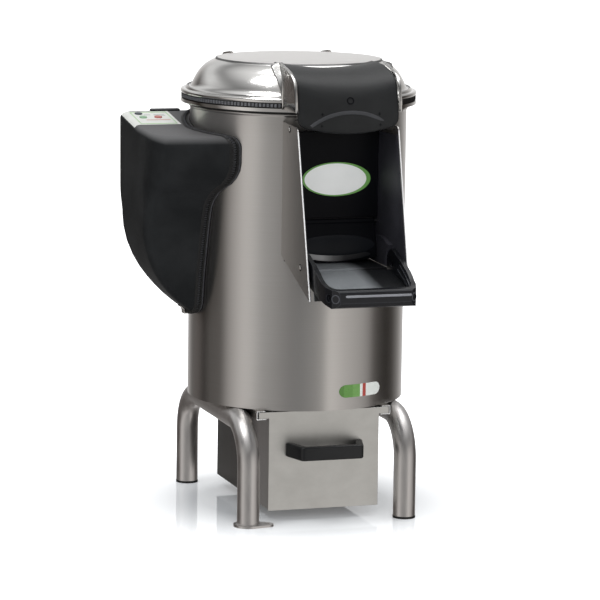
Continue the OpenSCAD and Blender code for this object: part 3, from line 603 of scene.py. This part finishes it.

# Its lip is painted pale from the left to the middle, as light, and black to its right, as shade
lens_lip_painted_light_shade, tree, shader = new_finish("lens_lip_painted_light_and_shade", "#6a6b6c", 0.4)
place = add_node(tree, "ShaderNodeTexCoord").outputs["Object"]
across = add_node(tree, "ShaderNodeSeparateXYZ", {0: place}).outputs["X"]
share = add_node(tree, "ShaderNodeMapRange", {0: across, 1: -0.07, 2: 0.07})
lit_then_shaded = [(0.0, "#7c7c7c"), (0.3, "#8a8a8a"), (0.45, "#4c4c4d"), (0.6, "#101114")]
wire(tree, shader, {"Base Color": add_node(tree, "ShaderNodeValToRGB", {0: share}, lit_then_shaded)})
bm = bulge((71, 19, 2), (0, -226.4, LENS_Z - 8.5), False)
new_piece("lens_lip", bm, lens_lip_painted_light_shade, "flap", slot="panel_lining")

# The printed plate is satin: a green rim, drawn wider at its ends, round a nearly white field
OVAL_HALF = (62.8, 29.8, 1)
OVAL_PLACE = (2.8, -211, 614.5)
oval_green = moulded_plastic("green_printed_rim", ("#5a9040", "#74a85c"), 0.35, 3, 0.02, 0.5)
oval_pale = moulded_plastic("pale_printed_plate", ("#eceeec", "#f4f5f3"), 0.35, 3, 0.02, 0.5)
bm = bmesh.new()
bmesh.ops.create_circle(bm, cap_ends=True, segments=96, radius=1)
bmesh.ops.scale(bm, vec=at(*OVAL_HALF), verts=bm.verts)
raised = bmesh.ops.extrude_face_region(bm, geom=bm.faces[:])["geom"]
field = [part for part in raised if isinstance(part, bmesh.types.BMFace)]
bmesh.ops.translate(bm, vec=at(0, 0, 1.2), verts=field[0].verts)
bmesh.ops.inset_region(bm, faces=field, thickness=0.0022, depth=0.0)
bmesh.ops.scale(bm, vec=(0.94, 1, 1), verts=field[0].verts)
bmesh.ops.translate(bm, vec=at(-1.9, 0, 0.1), verts=field[0].verts)
field[0].material_index = 1
move_to(bm, OVAL_PLACE, 90, "X")
bmesh.ops.recalc_face_normals(bm, faces=bm.faces)
new_piece("oval_badge", bm, (oval_green, oval_pale), "frame", "oval_plate", slot="label_pale")

# ---- Screws, rivets and pins ----
# Domed heads, each turned on its own axis and pressed or screwed through the sheet.
# The steel is bright and smooth. The black rings under the heads paint the shade round them, and the flap's
# pin is painted dull black as shade in its slot.
fastener = brushed_steel("bright_fastener_steel", ("#c8c6c3", "#e2e0dd"), 0.2, (3, 3, 3))
shade_ring_nylon = cast_finish("black_ring_painted_shade", ("#161617", "#1e1e20"), 0.5, 3, 0.02)
pin_painted_shade = cast_finish("flap_pin_painted_shade", ("#101012", "#17171a"), 0.5, 3, 0.02)


def join(bm, other):
    """Adds a bmesh to bm and frees it."""
    mesh = bpy.data.meshes.new("joined")
    other.to_mesh(mesh)
    other.free()
    bm.from_mesh(mesh)
    bpy.data.meshes.remove(mesh)


def stud(bm, radius, height, spot, facing):
    """Adds to bm a domed head of that radius and height, standing on spot and facing along X."""
    head = spun([(0, -height), (radius * 0.9, -height), (radius, 0), (radius, height * 0.35),
                 (radius * 0.8, height * 0.8), (radius * 0.45, height), (0, height * 1.05)], 24)
    move_to(head, spot, facing * 90, "Y")
    join(bm, head)


HEADS = [
    ("cheek_screws", "chute_screws", 4, "screw_shade_rings", 5.6, 0.2 - 95 * math.tan(SPLAY), -229, 705),
    ("pivot_heads", "tray_pivots", 4.4, "pivot_shade_rings", 6.2, 0.3 - 23 * math.tan(SPLAY), -307, 475),
]
for name, node, radius, shade_rings, shade_ring_radius, beside, y, z in HEADS:
    bm = bmesh.new()
    rings = bmesh.new()
    x = CHEEK_X + beside
    for facing in (-1, 1):
        spot = (facing * x + cheek_lean(facing * x, y, z), y, z)
        stud(bm, radius, 2.4, spot, facing)
        stud(rings, shade_ring_radius, 0.5, spot, facing)
    new_piece(name, bm, fastener, "frame", node, slot="hardware")
    new_piece(shade_rings, rings, shade_ring_nylon, "frame", slot="black_moulding")
# The pin is painted dull black, as shade inside the slot
give(pin_painted_shade, "flap_pin")
give(fastener, "hinge_pin")

# ---- Tray ----
# A moulded frame of three rails that swings down, with a stainless floor let into it.
# Its edges are painted paler as highlights, a pale bead along the front rail paints its highlight, and each
# front corner has a sunk boss.


def tray_lean(x, y, z):
    """How far the hung tray stands from its nominal place at a point, on X in millimetres."""
    return -2 - 4 * min(1.0, max(0.0, (-307 - y) / 143))


def drawn_sheet(sections, closed=False):
    """A bmesh drawn out edge by edge through sections, each a list of points."""
    bm = bmesh.new()
    chain = [bm.verts.new(point) for point in sections[0]]
    edges = [bm.edges.new(pair) for pair in zip(chain, chain[1:] + chain[:1] if closed else chain[1:])]
    for section in sections[1:]:
        made = bmesh.ops.extrude_edge_only(bm, edges=edges)["geom"]
        fresh = {part for part in made if isinstance(part, bmesh.types.BMVert)}
        ways = [[edge.other_vert(vert) for edge in vert.link_edges] for vert in chain]
        chain = [next(vert for vert in way if vert in fresh) for way in ways]
        edges = [part for part in made
                 if isinstance(part, bmesh.types.BMEdge) and fresh.issuperset(part.verts)]
        for vert, point in zip(chain, section):
            vert.co = point
    bmesh.ops.recalc_face_normals(bm, faces=bm.faces)
    return bm


# The nylon is black with a clear sheen. Its edges, bosses and bead are painted three paler greys as
# highlights.
tray_plastic = moulded_plastic("black_tray_nylon", ("#0c0d10", "#131418"), 0.3, 1.8, 0.05, 0.35)
tray_edge_highlight_plastic = moulded_plastic("tray_edge_painted_highlight", ("#222327", "#2c2d32"), 0.32, 1.8, 0.02, 0.4)
boss_highlight_plastic = moulded_plastic("tray_boss_painted_highlight", ("#3a3b40", "#46474c"), 0.3, 1.8, 0.02, 0.5)
bead_highlight_plastic = moulded_plastic("tray_bead_painted_highlight", ("#6c6d72", "#86878c"), 0.3, 1.8, 0.02, 0.5)
made = settled(rounded_copy("tray_frame", "tray_rim", 1.3, (tray_plastic, tray_edge_highlight_plastic), 2), tray_lean)
# The rounded edges take the paler grey, a painted highlight
made.modifiers["rounding"].material = 1
# The tray's floor is the same steel, painted black right of the middle as the arm's shadow
settled(smoothed_copy("tray_floor", "tray_sheet", worn_steel_painted_shadow), tray_lean)
# The bead is a pale strip that paints the front rail's highlight
BEAD_Y = -455.6
BEAD_Z = 445.5
sections = []
for x, size in ((-54, 0.3), (-53.6, 1.6), (-52, 2.3), (5, 2.3), (62, 2.3), (63.6, 1.6), (64, 0.3)):
    sections.append([at(x, BEAD_Y - size * 0.6 * math.sin(math.radians(turn)),
                        BEAD_Z + size * math.cos(math.radians(turn))) for turn in range(0, 181, 20)])
settled(new_piece("tray_highlight_bead", drawn_sheet(sections), bead_highlight_plastic, "tray", slot="black_moulding"), tray_lean)

BOSS_PLACE = (69.8, -450, 441)
BOSS_TURN = 47
BOSS_RING = [(5.8, -1), (6, 0.9), (6.8, 1.2), (7.8, 0.8), (8.2, -1)]
BOSS_HOLLOW = [(0, -1), (6, -1), (6, 0.3), (0, 0.3)]
rings = bmesh.new()
hollows = bmesh.new()
for facing in (-1, 1):
    for bm, outline in ((rings, BOSS_RING), (hollows, BOSS_HOLLOW)):
        boss = spun(outline, 32)
        move_to(boss, (0, 0, 0), facing * 90, "Y")
        move_to(boss, (facing * BOSS_PLACE[0], *BOSS_PLACE[1:]), -facing * BOSS_TURN, "Z")
        join(bm, boss)
# The rings are a paler grey, a painted highlight on the bosses' rims
settled(new_piece("corner_rings", rings, boss_highlight_plastic, "tray", slot="black_moulding"), tray_lean)
settled(new_piece("corner_hollows", hollows, seal_rubber, "tray", slot="rubber_black"), tray_lean)

# Two ribs run along the inside of each arm, which turns in a little in front of y = -400
ARM_X = 76.6
ARM_RIBS = [[(-352, 480), (-384, 467), (-420, 452), (-432, 448)],
            [(-340, 471), (-380, 457), (-420, 442.5), (-432, 438.5)]]
RIB_PROFILE = [(-1, -1.4), (1.6, -1), (1.6, 1), (-1, 1.4)]
bm = bmesh.new()
for facing in (-1, 1):
    for line in ARM_RIBS:
        sections = []
        for y, z in line:
            reach = ARM_X - max(0.0, (-400 - y) * 0.137)
            sections.append([at(facing * (reach - out), y, z + lift) for out, lift in RIB_PROFILE])
        rib = drawn_sheet(sections)
        for section in (sections[0], sections[-1]):
            end = [vert for vert in rib.verts if abs(vert.co.y - section[0].y) < 0.000001]
            bmesh.ops.contextual_create(rib, geom=end)
        join(bm, rib)
bmesh.ops.recalc_face_normals(bm, faces=bm.faces)
# The ribs are in the paler edge grey, painted highlights along the arm's inside
settled(new_piece("arm_ribs", bm, tray_edge_highlight_plastic, "tray", slot="black_moulding"), tray_lean)

# ---- Control casing ----
# A hollow moulded cover that stands on a rubber gasket against the drum: a wide head over a narrow lobe.
# Its outer face bows in towards the foot, and its edges are well rounded.
CASING_X = -301
BOW = (202, 530)
SEAL_R = 211
CASING_FRONT = [
    (358, -28), (361, -36), (367, -43.5), (377, -48), (398, -50), (430, -53), (500, -63), (522, -66.5),
    (539, -69.3), (554, -73.1), (565.5, -78.5), (581, -90.3), (591.5, -103.5), (599, -113.8), (610, -122),
    (622.5, -127.2), (636, -129), (663, -129),
]
CASING_REAR = [
    (358, 26), (363, 38.5), (371, 46), (404, 70), (437, 94.4), (472.6, 106.1), (510, 110), (529, 109),
    (555, 121.6), (570, 125), (663, 128),
]
HEAD_ROUND = 20
TOP_ROUND = 11
TOP_Z = 688
FOOT_Z = 358
HEAD_LOW = 600
HEAD_TOP = 663


def along(line, height):
    """Y of an outline, given as (height, y) points, at a height."""
    for (low, y0), (high, y1) in zip(line, line[1:]):
        if height <= high:
            return y0 + (y1 - y0) * max(0.0, height - low) / (high - low)
    return line[-1][1]


def casing_top(y):
    """Height of the casing's two-way sloping top at y."""
    return TOP_Z + y * (20 / 129 if y > 0 else 5 / 109)


def drum_side(y, radius):
    """X of a cylinder round the drum's axis at y, on the casing's side."""
    return -math.sqrt(radius ** 2 - y ** 2)


def casing_section(height, roll):
    """The casing's closed outline at a height. roll is how far over its top edge it lies, from 0 to 1."""
    lift = math.sin(roll * math.pi / 2)
    drawn_in = 1 - math.cos(roll * math.pi / 2)
    wide = min(1.0, max(0.0, (height - 560) / 40))
    front = along(CASING_FRONT, height) + HEAD_ROUND * drawn_in
    rear = along(CASING_REAR, height) - TOP_ROUND * drawn_in
    drop = max(0.0, BOW[1] - height)
    outer = CASING_X + BOW[0] - math.sqrt(BOW[0] ** 2 - drop ** 2) + TOP_ROUND * drawn_in
    draft = 4 + 8 * wide
    seal = drum_side(front, SEAL_R)
    front_r = min(15 + 13 * wide, (seal - outer) * 0.8)
    front_ry = min(22 + 38 * wide, (rear - front) * 0.45) * (1 - 0.3 * drawn_in)
    rear_r = min(16, (seal - outer) * 0.8)

    # Each point has its place, and how far it belongs to the level front edge and not to the sloping top
    points = [(seal, front, 1), ((seal + outer + front_r) / 2, front + draft / 2, 1)]
    for step in range(7):
        turn = math.radians(15 * step)
        x = outer + front_r * (1 - math.sin(turn))
        points.append((x, front + draft + front_ry * (1 - math.cos(turn)), 1 - step / 6))
    for y in (min(-1, front + draft + front_ry) / 2, 0, (rear - rear_r) / 2):
        points.append((outer, y, 0))
    for step in range(6):
        turn = math.radians(18 * step)
        points.append((outer + rear_r * (1 - math.cos(turn)), rear - rear_r * (1 - math.sin(turn)), 0))
    points += [(drum_side(rear * part, SEAL_R), rear * part, 0) for part in (1, 0.75, 0.5, 0.25, 0)]
    points += [(drum_side(front * part, SEAL_R), front * part, part) for part in (0.25, 0.5, 0.75)]
    if height < HEAD_LOW:
        return [at(x, y, height) for x, y, weight in points]
    part = (height - HEAD_LOW) / (HEAD_TOP - HEAD_LOW)
    section = []
    for x, y, weight in points:
        slope = HEAD_LOW + (casing_top(y) - TOP_ROUND - HEAD_LOW) * part + TOP_ROUND * lift
        z = weight * (height + HEAD_ROUND * lift) + (1 - weight) * slope
        section.append(at(x, y, casing_top(y) if roll == 1 else z))
    return section


# The casing's plastic is charcoal, and its coarse grain leaves it without shine. Where it faces up it is
# painted pale, as a painted sheen.
casing_plastic_painted_sheen = moulded_plastic("black_casing_abs_painted_sheen", ("#1f2021", "#28292a"), 0.5, 1.5, 0.12, 0.04)
fade(casing_plastic_painted_sheen, "Z", 0.3, 0.95, "#5e5e5f", ("ShaderNodeNewGeometry", "Normal"))
LEVELS = [
    FOOT_Z, 359.5, 361, 363.5, 367, 372, 378, 386, 398, 413, 430, 450, 475, 500, 522, 530, 539, 547, 554, 560,
    565.5, 571, 576, 581, 586, 591.5, 596, 600, 605, 610, 616, 622.5, 629, 636, 650,
]
sections = [casing_section(height, 0) for height in LEVELS]
sections += [casing_section(HEAD_TOP, step / 6) for step in range(7)]
bm = drawn_sheet(sections, closed=True)
foot = [vert for vert in bm.verts if abs(vert.co.z * 1000 - FOOT_Z) < 0.001]
rim = [vert for vert in bm.verts if vert.co.z * 1000 > casing_top(vert.co.y * 1000) - 0.01]
bmesh.ops.contextual_create(bm, geom=foot)
for facing in (1, -1):
    bmesh.ops.contextual_create(bm, geom=[vert for vert in rim if facing * vert.co.y > -0.000001])
bmesh.ops.recalc_face_normals(bm, faces=bm.faces)
made = new_piece("casing_shell", bm, casing_plastic_painted_sheen, "frame", "casing_cover", slot="black_moulding", sharp=50)
made.modifiers.new("even_shading", "WEIGHTED_NORMAL").keep_sharp = True

# A rounded block on the top's rear edge covers the cover's hinge
bm = bmesh.new()
add_block(bm, (55, 14, 20), (-215.5, 120.5, 700))
bmesh.ops.bevel(bm, geom=bm.edges[:], offset=0.003, segments=3, profile=0.5, affect="EDGES", material=-1)
new_piece("casing_hinge_block", bm, casing_plastic_painted_sheen, "frame", slot="black_moulding")

# A boss carries the cable gland, and the cover's screw sits in a socket with a bright rim
bm = spun([(0, 0), (14, 0), (14, 11.5), (13, 12.5), (0, 12.5)], 32)
move_to(bm, (-250, 96, 470), -90, "X")
new_piece("gland_boss", bm, casing_plastic_painted_sheen, "frame", slot="black_moulding")
LOCK = (-300.7, -23.6, 636)
bm = spun([(0, -3), (4.6, -3), (4.6, 0.2), (3.2, 0.3), (3, -1), (0, -1)], 24)
for face in bm.faces:
    if math.hypot(*face.calc_center_median().xy) > 0.0031:
        face.material_index = 1
move_to(bm, LOCK, -90, "Y")
new_piece("lock_socket", bm, (seal_rubber, fastener), "frame", slot="rubber_black")

# The gasket is an extruded rubber profile bent round the casing: a plain lip by the drum and a ribbed bead.
# The rubber is a dull black. Every other rib and a strip of the lip by the drum are painted grey as
# highlights.
gasket_rubber = cast_finish("black_epdm_rubber", ("#0c0c0d", "#161617"), 0.55, 3, 0.1)
gasket_rib_highlight_rubber = cast_finish("gasket_ribs_painted_highlight", ("#2c2d30", "#3a3b3f"), 0.5, 3, 0.1)
RIB_PITCH = 4.2
path = [(y, height) for height, y in CASING_FRONT]
for step in range(1, 6):
    turn = math.radians(18 * step)
    path.append((-109 - HEAD_ROUND * math.cos(turn), HEAD_TOP + HEAD_ROUND * math.sin(turn)))
path += [(0, TOP_Z), (60, 697.3), (122, 706.9), (127, 705)]
path += [(y, height) for height, y in reversed(CASING_REAR)]
path += [(17, 356.1), (-6, 354.5), (-20, 356)]
walked = []
carry = 0.0
for start, end in zip(path, path[1:] + path[:1]):
    run = math.dist(start, end)
    while carry < run:
        share = carry / run
        walked.append((start[0] + (end[0] - start[0]) * share, start[1] + (end[1] - start[1]) * share))
        carry += RIB_PITCH / 2
    carry -= run
walked = walked[:len(walked) // 2 * 2]
PROFILE = [
    (-8, 195.4), (0.8, 195.4), (1.4, 196.4), (1.4, 198.6), (0.2, 199.4), (0.2, 200.8), (1.6, 201.6),
    (2.2, 203), (2.2, 206.6), (1.6, 207.8), (0.2, 208.6), (0.2, 211), (-8, 211),
]
sections = []
for count, (y, z) in enumerate(walked):
    before = walked[count - 4]
    after = walked[(count + 4) % len(walked)]
    way = Vector((after[0] - before[0], after[1] - before[1])).normalized()
    section = []
    for reach, radius in PROFILE:
        reach -= 1.5 if count % 2 and 201 < radius < 208 else 0
        shifted = y - way.y * reach
        section.append(at(drum_side(shifted, radius), shifted, z + way.x * reach))
    sections.append(section)
bm = drawn_sheet(sections + sections[:1], closed=True)
bmesh.ops.remove_doubles(bm, verts=bm.verts, dist=0.00001)
bmesh.ops.recalc_face_normals(bm, faces=bm.faces)
# Painted highlights: every other rib's bead and a strip of the lip take the grey rubber
for count, face in enumerate(bm.faces):
    girth = math.hypot(*face.calc_center_median().xy)
    if (0.2025 < girth < 0.207 and count // len(PROFILE) % 2) or 0.196 < girth < 0.198:
        face.material_index = 1
new_piece("casing_seal", bm, (gasket_rubber, gasket_rib_highlight_rubber), "frame", "casing_gasket", slot="rubber_black")
rounded_copy("casing_fixings", "casing_clip", 0.6, fastener)

# ---- Key panel ----
# A printed film on the casing's slope round three push keys: green starts, red stops, grey sets the timer.
# The film is a satin pale grey, and its inks are flat colours that years of light have dulled.
PANEL_PLACE = Matrix.Translation(at(-256, 66, casing_top(66))) @ Matrix.Rotation(math.atan(20 / 129), 4, "X")
FILM = 0.4
film = moulded_plastic("printed_panel_film", ("#cdcfcb", "#d8dad6"), 0.35, 3, 0.02, 0.5)
ROLL = [(-213, 90), (-235, 90), (-262, 90), (-290, 90), (-290, 75), (-290, 60), (-290, 46), (-290, 34)]
sections = []
for x, turn in ROLL:
    turn = math.radians(turn)
    x -= (TOP_ROUND + FILM) * math.cos(turn)
    drop = (TOP_ROUND + FILM) * (1 - math.sin(turn))
    sections.append([at(x, y, casing_top(y) + FILM - drop) for y in (20, 24, 50, 80, 108, 112)])
new_piece("panel_film", drawn_sheet(sections), film, "frame", "control_label", slot="label_pale")

# Plain printed lines, with no lettering: a green border, a red rule and grey dashes.
# Each has its middle on the panel, its width and depth, and the number of its ink.
PRINT = [
    (4, -40, 68, 4.5, 0), (4, 40, 68, 4.5, 0), (-29, 0, 2, 78, 0), (37, 0, 2, 78, 0), (10, -14, 44, 4, 1),
    (20, 14, 20, 3, 2), (20, 22, 20, 3, 2), (-2, 22, 12, 3, 2),
]
INKS = [("green", ("#98b98a", "#a4c396")), ("red", ("#b57f79", "#c08b85")), ("grey", ("#8b8f93", "#979b9f"))]
inks = [moulded_plastic("printed_ink_" + name, colours, 0.4, 3, 0.01, 0.5) for name, colours in INKS]
bm = bmesh.new()
for u, v, wide, deep, ink in PRINT:
    spot = bmesh.ops.create_grid(bm, x_segments=1, y_segments=1, size=0.0005)["verts"]
    bmesh.ops.scale(bm, vec=(wide, deep, 1), verts=spot)
    bmesh.ops.transform(bm, matrix=PANEL_PLACE @ Matrix.Translation(at(u, v, 0.55)), verts=spot)
    spot[0].link_faces[0].material_index = ink
new_piece("panel_print", bm, tuple(inks), "frame", slot="label_green")

# The keys are satin caps in green, red and slate, dulled by use
KEYS = [
    ("start_button", "start_key", (-14, 4), ("#7f9f82", "#8bab8e"), "key_green"),
    ("stop_button", "stop_key", (14, 4), ("#a6625c", "#b16d67"), "key_red"),
    ("timer_button", "timer_key", (-16, 30), ("#343a42", "#3e444c"), "key_grey"),
]
for node, body, (u, v), colours, slot in KEYS:
    bm = spun([(0, -6), (7, -6), (7, 1.7), (6.6, 2.3), (5.6, 2.5), (0, 2.1)], 32)
    bmesh.ops.transform(bm, matrix=PANEL_PLACE @ Matrix.Translation(at(u, v, 0)), verts=bm.verts)
    key_plastic = moulded_plastic(body + "_plastic", colours, 0.35, 2, 0.02, 0.5)
    new_piece(body + "_cap", bm, key_plastic, body, node, slot=slot)

# Solder lacquer makes the board dark green, with a soft sheen
circuit = cast_finish("green_circuit_board", ("#17402a", "#1f5236"), 0.45, 4, 0.05)
give(circuit, "control_board")
give(cast_iron, "contactor")
smoothed_copy("cable_gland", "nylon_gland", nylon)

# ---- Lid ----
# A spun stainless dome with a rolled bead, a step and a flat lip, polished, under a satin disc.
# A ribbed rubber band lies in the groove of its rim.
DISC_R = 0.147
DOME = [
    (211.6, 731), (212, 733), (211.6, 737), (207, 738), (207, 746.5), (211, 747.2), (212, 749), (212, 751.5),
    (211, 753.5), (208, 754.3), (204, 754.8), (203.2, 756.5), (202.6, 758.5), (200.5, 759.8), (198.6, 759),
    (197.4, 758.4), (195.8, 758.9), (193.8, 760.6), (192, 763.4), (190.4, 767), (188.6, 770.8), (186.4, 775),
    (183.9, 779.4), (181, 783.8), (177.6, 788.3), (173.4, 792.8), (168.8, 796.8), (163.4, 800.6),
    (158.4, 803.4), (153.6, 805.6), (150.6, 806.9), (149.8, 808.2), (149.2, 809.4), (147, 810),
    (110, 811.6), (75, 812.6), (40, 813.3), (0, 813.5),
]
INSIDE = [
    (0, 810.5), (75, 809.5), (147.5, 806.5), (161, 799), (173, 788.5), (183, 774), (192, 755), (199, 751),
    (203, 749), (203, 736), (191, 734), (191, 731),
]

# Polish makes the dome nearly a mirror, and the disc's fine grinding spreads the light over it
lid_steel = brushed_steel("polished_stainless_lid", ("#d6d5d3", "#dddcda"), 0.13, (200, 12, 12), True,
                          bump=0.0, wear=0.01)
disc_steel = brushed_steel("satin_stainless_disc", ("#dddbd9", "#e5e3e1"), 0.4, (60, 3, 3), bump=0.01)
# A darker steel paints shade in the step round the disc and in the groove at the dome's foot
bm = spun(DOME + INSIDE, 160)
for face in bm.faces:
    middle = face.calc_center_median()
    girth = math.hypot(*middle.xy)
    if middle.z > 0.8065 and face.normal.z > 0:
        face.material_index = 1 if girth < DISC_R else 2 if girth < DISC_R + 0.0035 else 0
    elif 0.1966 < girth < 0.2008 and face.normal.z > 0.5 and middle.z > 0.758:
        face.material_index = 2
new_piece("polished_lid", bm, (lid_steel, disc_steel, shade_steel), "lid", "lid_dome", slot="lid_steel",
          sharp=50)

# The band's ribs are painted grey as highlights, and the grooves between them stay black
BAND_RIBS = 190
band_rib_highlight_rubber = cast_finish("lid_ribs_painted_highlight", ("#4c4d50", "#66676b"), 0.4, 3, 0.05)
bm = spun([(206, 738.3), (210.2, 738.3), (211, 739.2), (211, 745.2), (210.2, 746.2), (206, 746.2)],
          2 * BAND_RIBS)
for vert in bm.verts:
    girth = math.hypot(vert.co.x, vert.co.y)
    turn = round(math.atan2(vert.co.y, vert.co.x) / math.tau * 2 * BAND_RIBS)
    if girth > 0.2105 and turn % 2:
        vert.co.xy = vert.co.xy * (girth - 0.0016) / girth
for face in bm.faces:
    middle = face.calc_center_median()
    turn = math.atan2(middle.y, middle.x) / math.tau * BAND_RIBS
    if math.hypot(*middle.xy) > 0.2085 and 0.7395 < middle.z < 0.7450 and turn % 1 < 0.5:
        face.material_index = 1
new_piece("lid_rib_band", bm, (gasket_rubber, band_rib_highlight_rubber), "lid", "lid_band", slot="rubber_black")
give(seal_rubber, "lid_gasket")

# ---- Hood ----
# A moulded cover on the lid's front over the chute's mouth, held between two folded stainless side plates.
# It is grained ABS about three millimetres thick, and a rivet holds each side plate.
HOOD_HALF = 91.4
HOOD_EDGE = [
    (-140, 815), (-172, 815), (-199, 813.5), (-222, 809.5), (-240, 805), (-254, 799.5), (-265, 792.5),
    (-271.5, 783), (-275.5, 771), (-279, 757), (-282, 746), (-283.5, 736),
]
HOOD_MIDDLE = [
    (-166, 806), (-190, 807), (-215, 805.5), (-238, 801), (-255, 795), (-268, 787.5), (-278, 778),
    (-284.5, 766), (-288.5, 755), (-290, 744), (-290.5, 732), (-290.5, 722),
]


def hood_section(x, tuck):
    """The hood's outline at x. tuck is how far its edge is drawn in, in millimetres."""
    share = min(1.0, abs(x) / HOOD_HALF) ** 2
    corner = max(0.0, abs(x) - 79.4) / 12
    low = 701 + 0.00165 * x * x + 12 * (1 - math.sqrt(max(0.0, 1 - corner * corner)))
    line = [(a[0] * (1 - share) + b[0] * share, a[1] * (1 - share) + b[1] * share)
            for a, b in zip(HOOD_MIDDLE, HOOD_EDGE)]
    line[0] = (-math.sqrt(166 ** 2 - x * x), line[0][1])
    end = line[-1][0]
    line += [(end, low + 8), (end + 0.4, low + 2.5), (end + 2.2, low + 0.6), (end + 5, low)]
    drawn = []
    for y, z in line:
        inward = Vector((-205 - y, 735 - z)).normalized() * tuck
        drawn.append(at(x, y + inward.x, z + inward.y))
    return drawn


def thicken(made, wall, offset):
    """Gives a sheet its wall, in millimetres: behind it for an offset of -1, half on each side for 0."""
    solid = made.modifiers.new("wall", "SOLIDIFY")
    solid.thickness = wall * 0.001
    solid.offset = offset


# The cover is near-black, and its coarse grain spreads what light it gives back
hood_plastic = moulded_plastic("grained_hood_abs", ("#1a1b1c", "#212223"), 0.5, 1.5, 0.16, 0.3)
TUCKS = [(91, 9), (91.4, 4), (91.2, 2.2), (90.4, 0.9), (89, 0.2), (86, 0), (80, 0), (70, 0), (58, 0), (44, 0),
         (28, 0), (12, 0)]
bm = drawn_sheet([hood_section(x, tuck) for x, tuck in TUCKS + [(-x, tuck) for x, tuck in reversed(TUCKS)]])
made = new_piece("hood_shell", bm, hood_plastic, "lid", "hood_cover", slot="hood_moulding", sharp=60)
thicken(made, 3, -1)

# Moulded marks on its face: an ejector ring, four crosses, and a raised arc painted a little paler as a
# highlight
bm = spun([(4.6, -1), (4.6, 0.5), (5, 0.9), (6.2, 0.9), (6.6, 0.5), (6.6, -1)], 40)
move_to(bm, (0.5, -287.1, 758.8), 72, "X")
new_piece("hood_ring", bm, panel_plastic, "lid", slot="hood_moulding")
ARC_R = 118.5
ARC_X = 1.7
ARC_Z = 620.3
arc_highlight_plastic = moulded_plastic("hood_arc_painted_highlight_abs", ("#333437", "#3d3e41"), 0.45, 1.5, 0.05, 0.4)


def hood_face(x):
    """Y of the hood's bowed face at x."""
    return -290.6 + 7.4 * (x / HOOD_HALF) ** 2


sections = []
for step in range(37):
    turn = math.radians(-37 + 2.03 * step)
    raised = 1.6 * min(1.0, (37 - step) / 14)
    face_y = hood_face(ARC_X + ARC_R * math.sin(turn)) + 0.4
    section = []
    for swing in [math.radians(30 * lift) for lift in range(7)]:
        radius = ARC_R - 3.2 * math.cos(swing)
        section.append(at(ARC_X + radius * math.sin(turn), face_y - raised * math.sin(swing),
                          ARC_Z + radius * math.cos(turn)))
    sections.append(section)
new_piece("hood_arc", drawn_sheet(sections), arc_highlight_plastic, "lid", slot="hood_moulding")
bm = bmesh.new()
for x, z in ((-50, 736), (53.5, 735.5), (-51, 716), (55.5, 716.5)):
    for wide, tall in ((6, 0.9), (0.9, 6)):
        add_block(bm, (wide, 1.2, tall), (x, hood_face(x) + 0.2, z))
bmesh.ops.bevel(bm, geom=bm.edges[:], offset=0.0002, segments=1, profile=0.5, affect="EDGES", material=-1)
new_piece("hood_crosses", bm, panel_plastic, "lid", slot="hood_moulding")

# Side plates: the front edge is folded in behind the cover, and the rear edge is turned out on the dome.
# The sheet is polished along a faint upright grain, so it mirrors the screens softly.
PLATE_FRONT = [
    (-284, 738.5), (-281, 757), (-277, 774), (-274.5, 783), (-270.5, 790), (-265, 795.5), (-259, 799),
    (-252, 802), (-244, 804.5), (-230, 808), (-215, 811), (-202, 814), (-190, 817.5),
]
PLATE_REAR = [
    (-218, 738.5), (-217.5, 748), (-217, 757), (-215.5, 764), (-213.5, 771), (-211.5, 777), (-209, 783),
    (-206.5, 788), (-203.5, 793.5), (-199.5, 799), (-195.5, 804.5), (-191, 811), (-187, 817),
]
FLANGE = [2, 2, 3, 4.5, 6, 7, 8, 9, 10, 11.5, 13, 14, 14.5]
FOLD = [(91.8, 0, PLATE_FRONT), (95.4, 0, PLATE_FRONT), (96.6, 0.4, PLATE_FRONT), (97, 1.6, PLATE_FRONT),
        (97, -1.6, PLATE_REAR), (97.3, -0.4, PLATE_REAR)]
chrome_sheet = brushed_steel("polished_side_sheet", ("#d8d7d5", "#e2e1df"), 0.2, (4, 4, 30),
                             bump=0.01, wear=0.08)
for facing, name in ((-1, "left"), (1, "right")):
    sections = [[at(facing * x, y + shift, z) for y, z in line] for x, shift, line in FOLD]
    for part in (0.35, 0.7, 1.0):
        section = []
        for (y, z), reach in zip(PLATE_REAR, FLANGE):
            droop = 5 * part ** 2 * (reach / 15) ** 3
            section.append(at(facing * (97.3 + part * reach), y + 1 + 2 * part, z - droop))
        sections.append(section)
    made = new_piece("hood_plate_" + name, drawn_sheet(sections), chrome_sheet, "lid", "hood_side_" + name,
                     slot="lid_steel", sharp=40)
    thicken(made, 1.2, 0)
bm = bmesh.new()
for facing in (-1, 1):
    stud(bm, 4.2, 2, (facing * 97.4, -241, 797), facing)
new_piece("plate_rivets", bm, fastener, "lid", "hood_rivets", slot="hardware")

# ---- Lid hinge and water inlet ----
# Flame-cut steel arms welded to the lid turn on a pin in a bracket on the drum's back.
# The water valve is a grey plastic moulding with a threaded spigot, screwed on below them.
rounded_copy("lid_hinge_arms", "hinge_arms", 0.8, sheet_steel)
rounded_copy("hinge_bracket", "welded_bracket", 0.8, sheet_steel)
rounded_copy("water_valve", "inlet_valve", 1.5, pipe_grey)
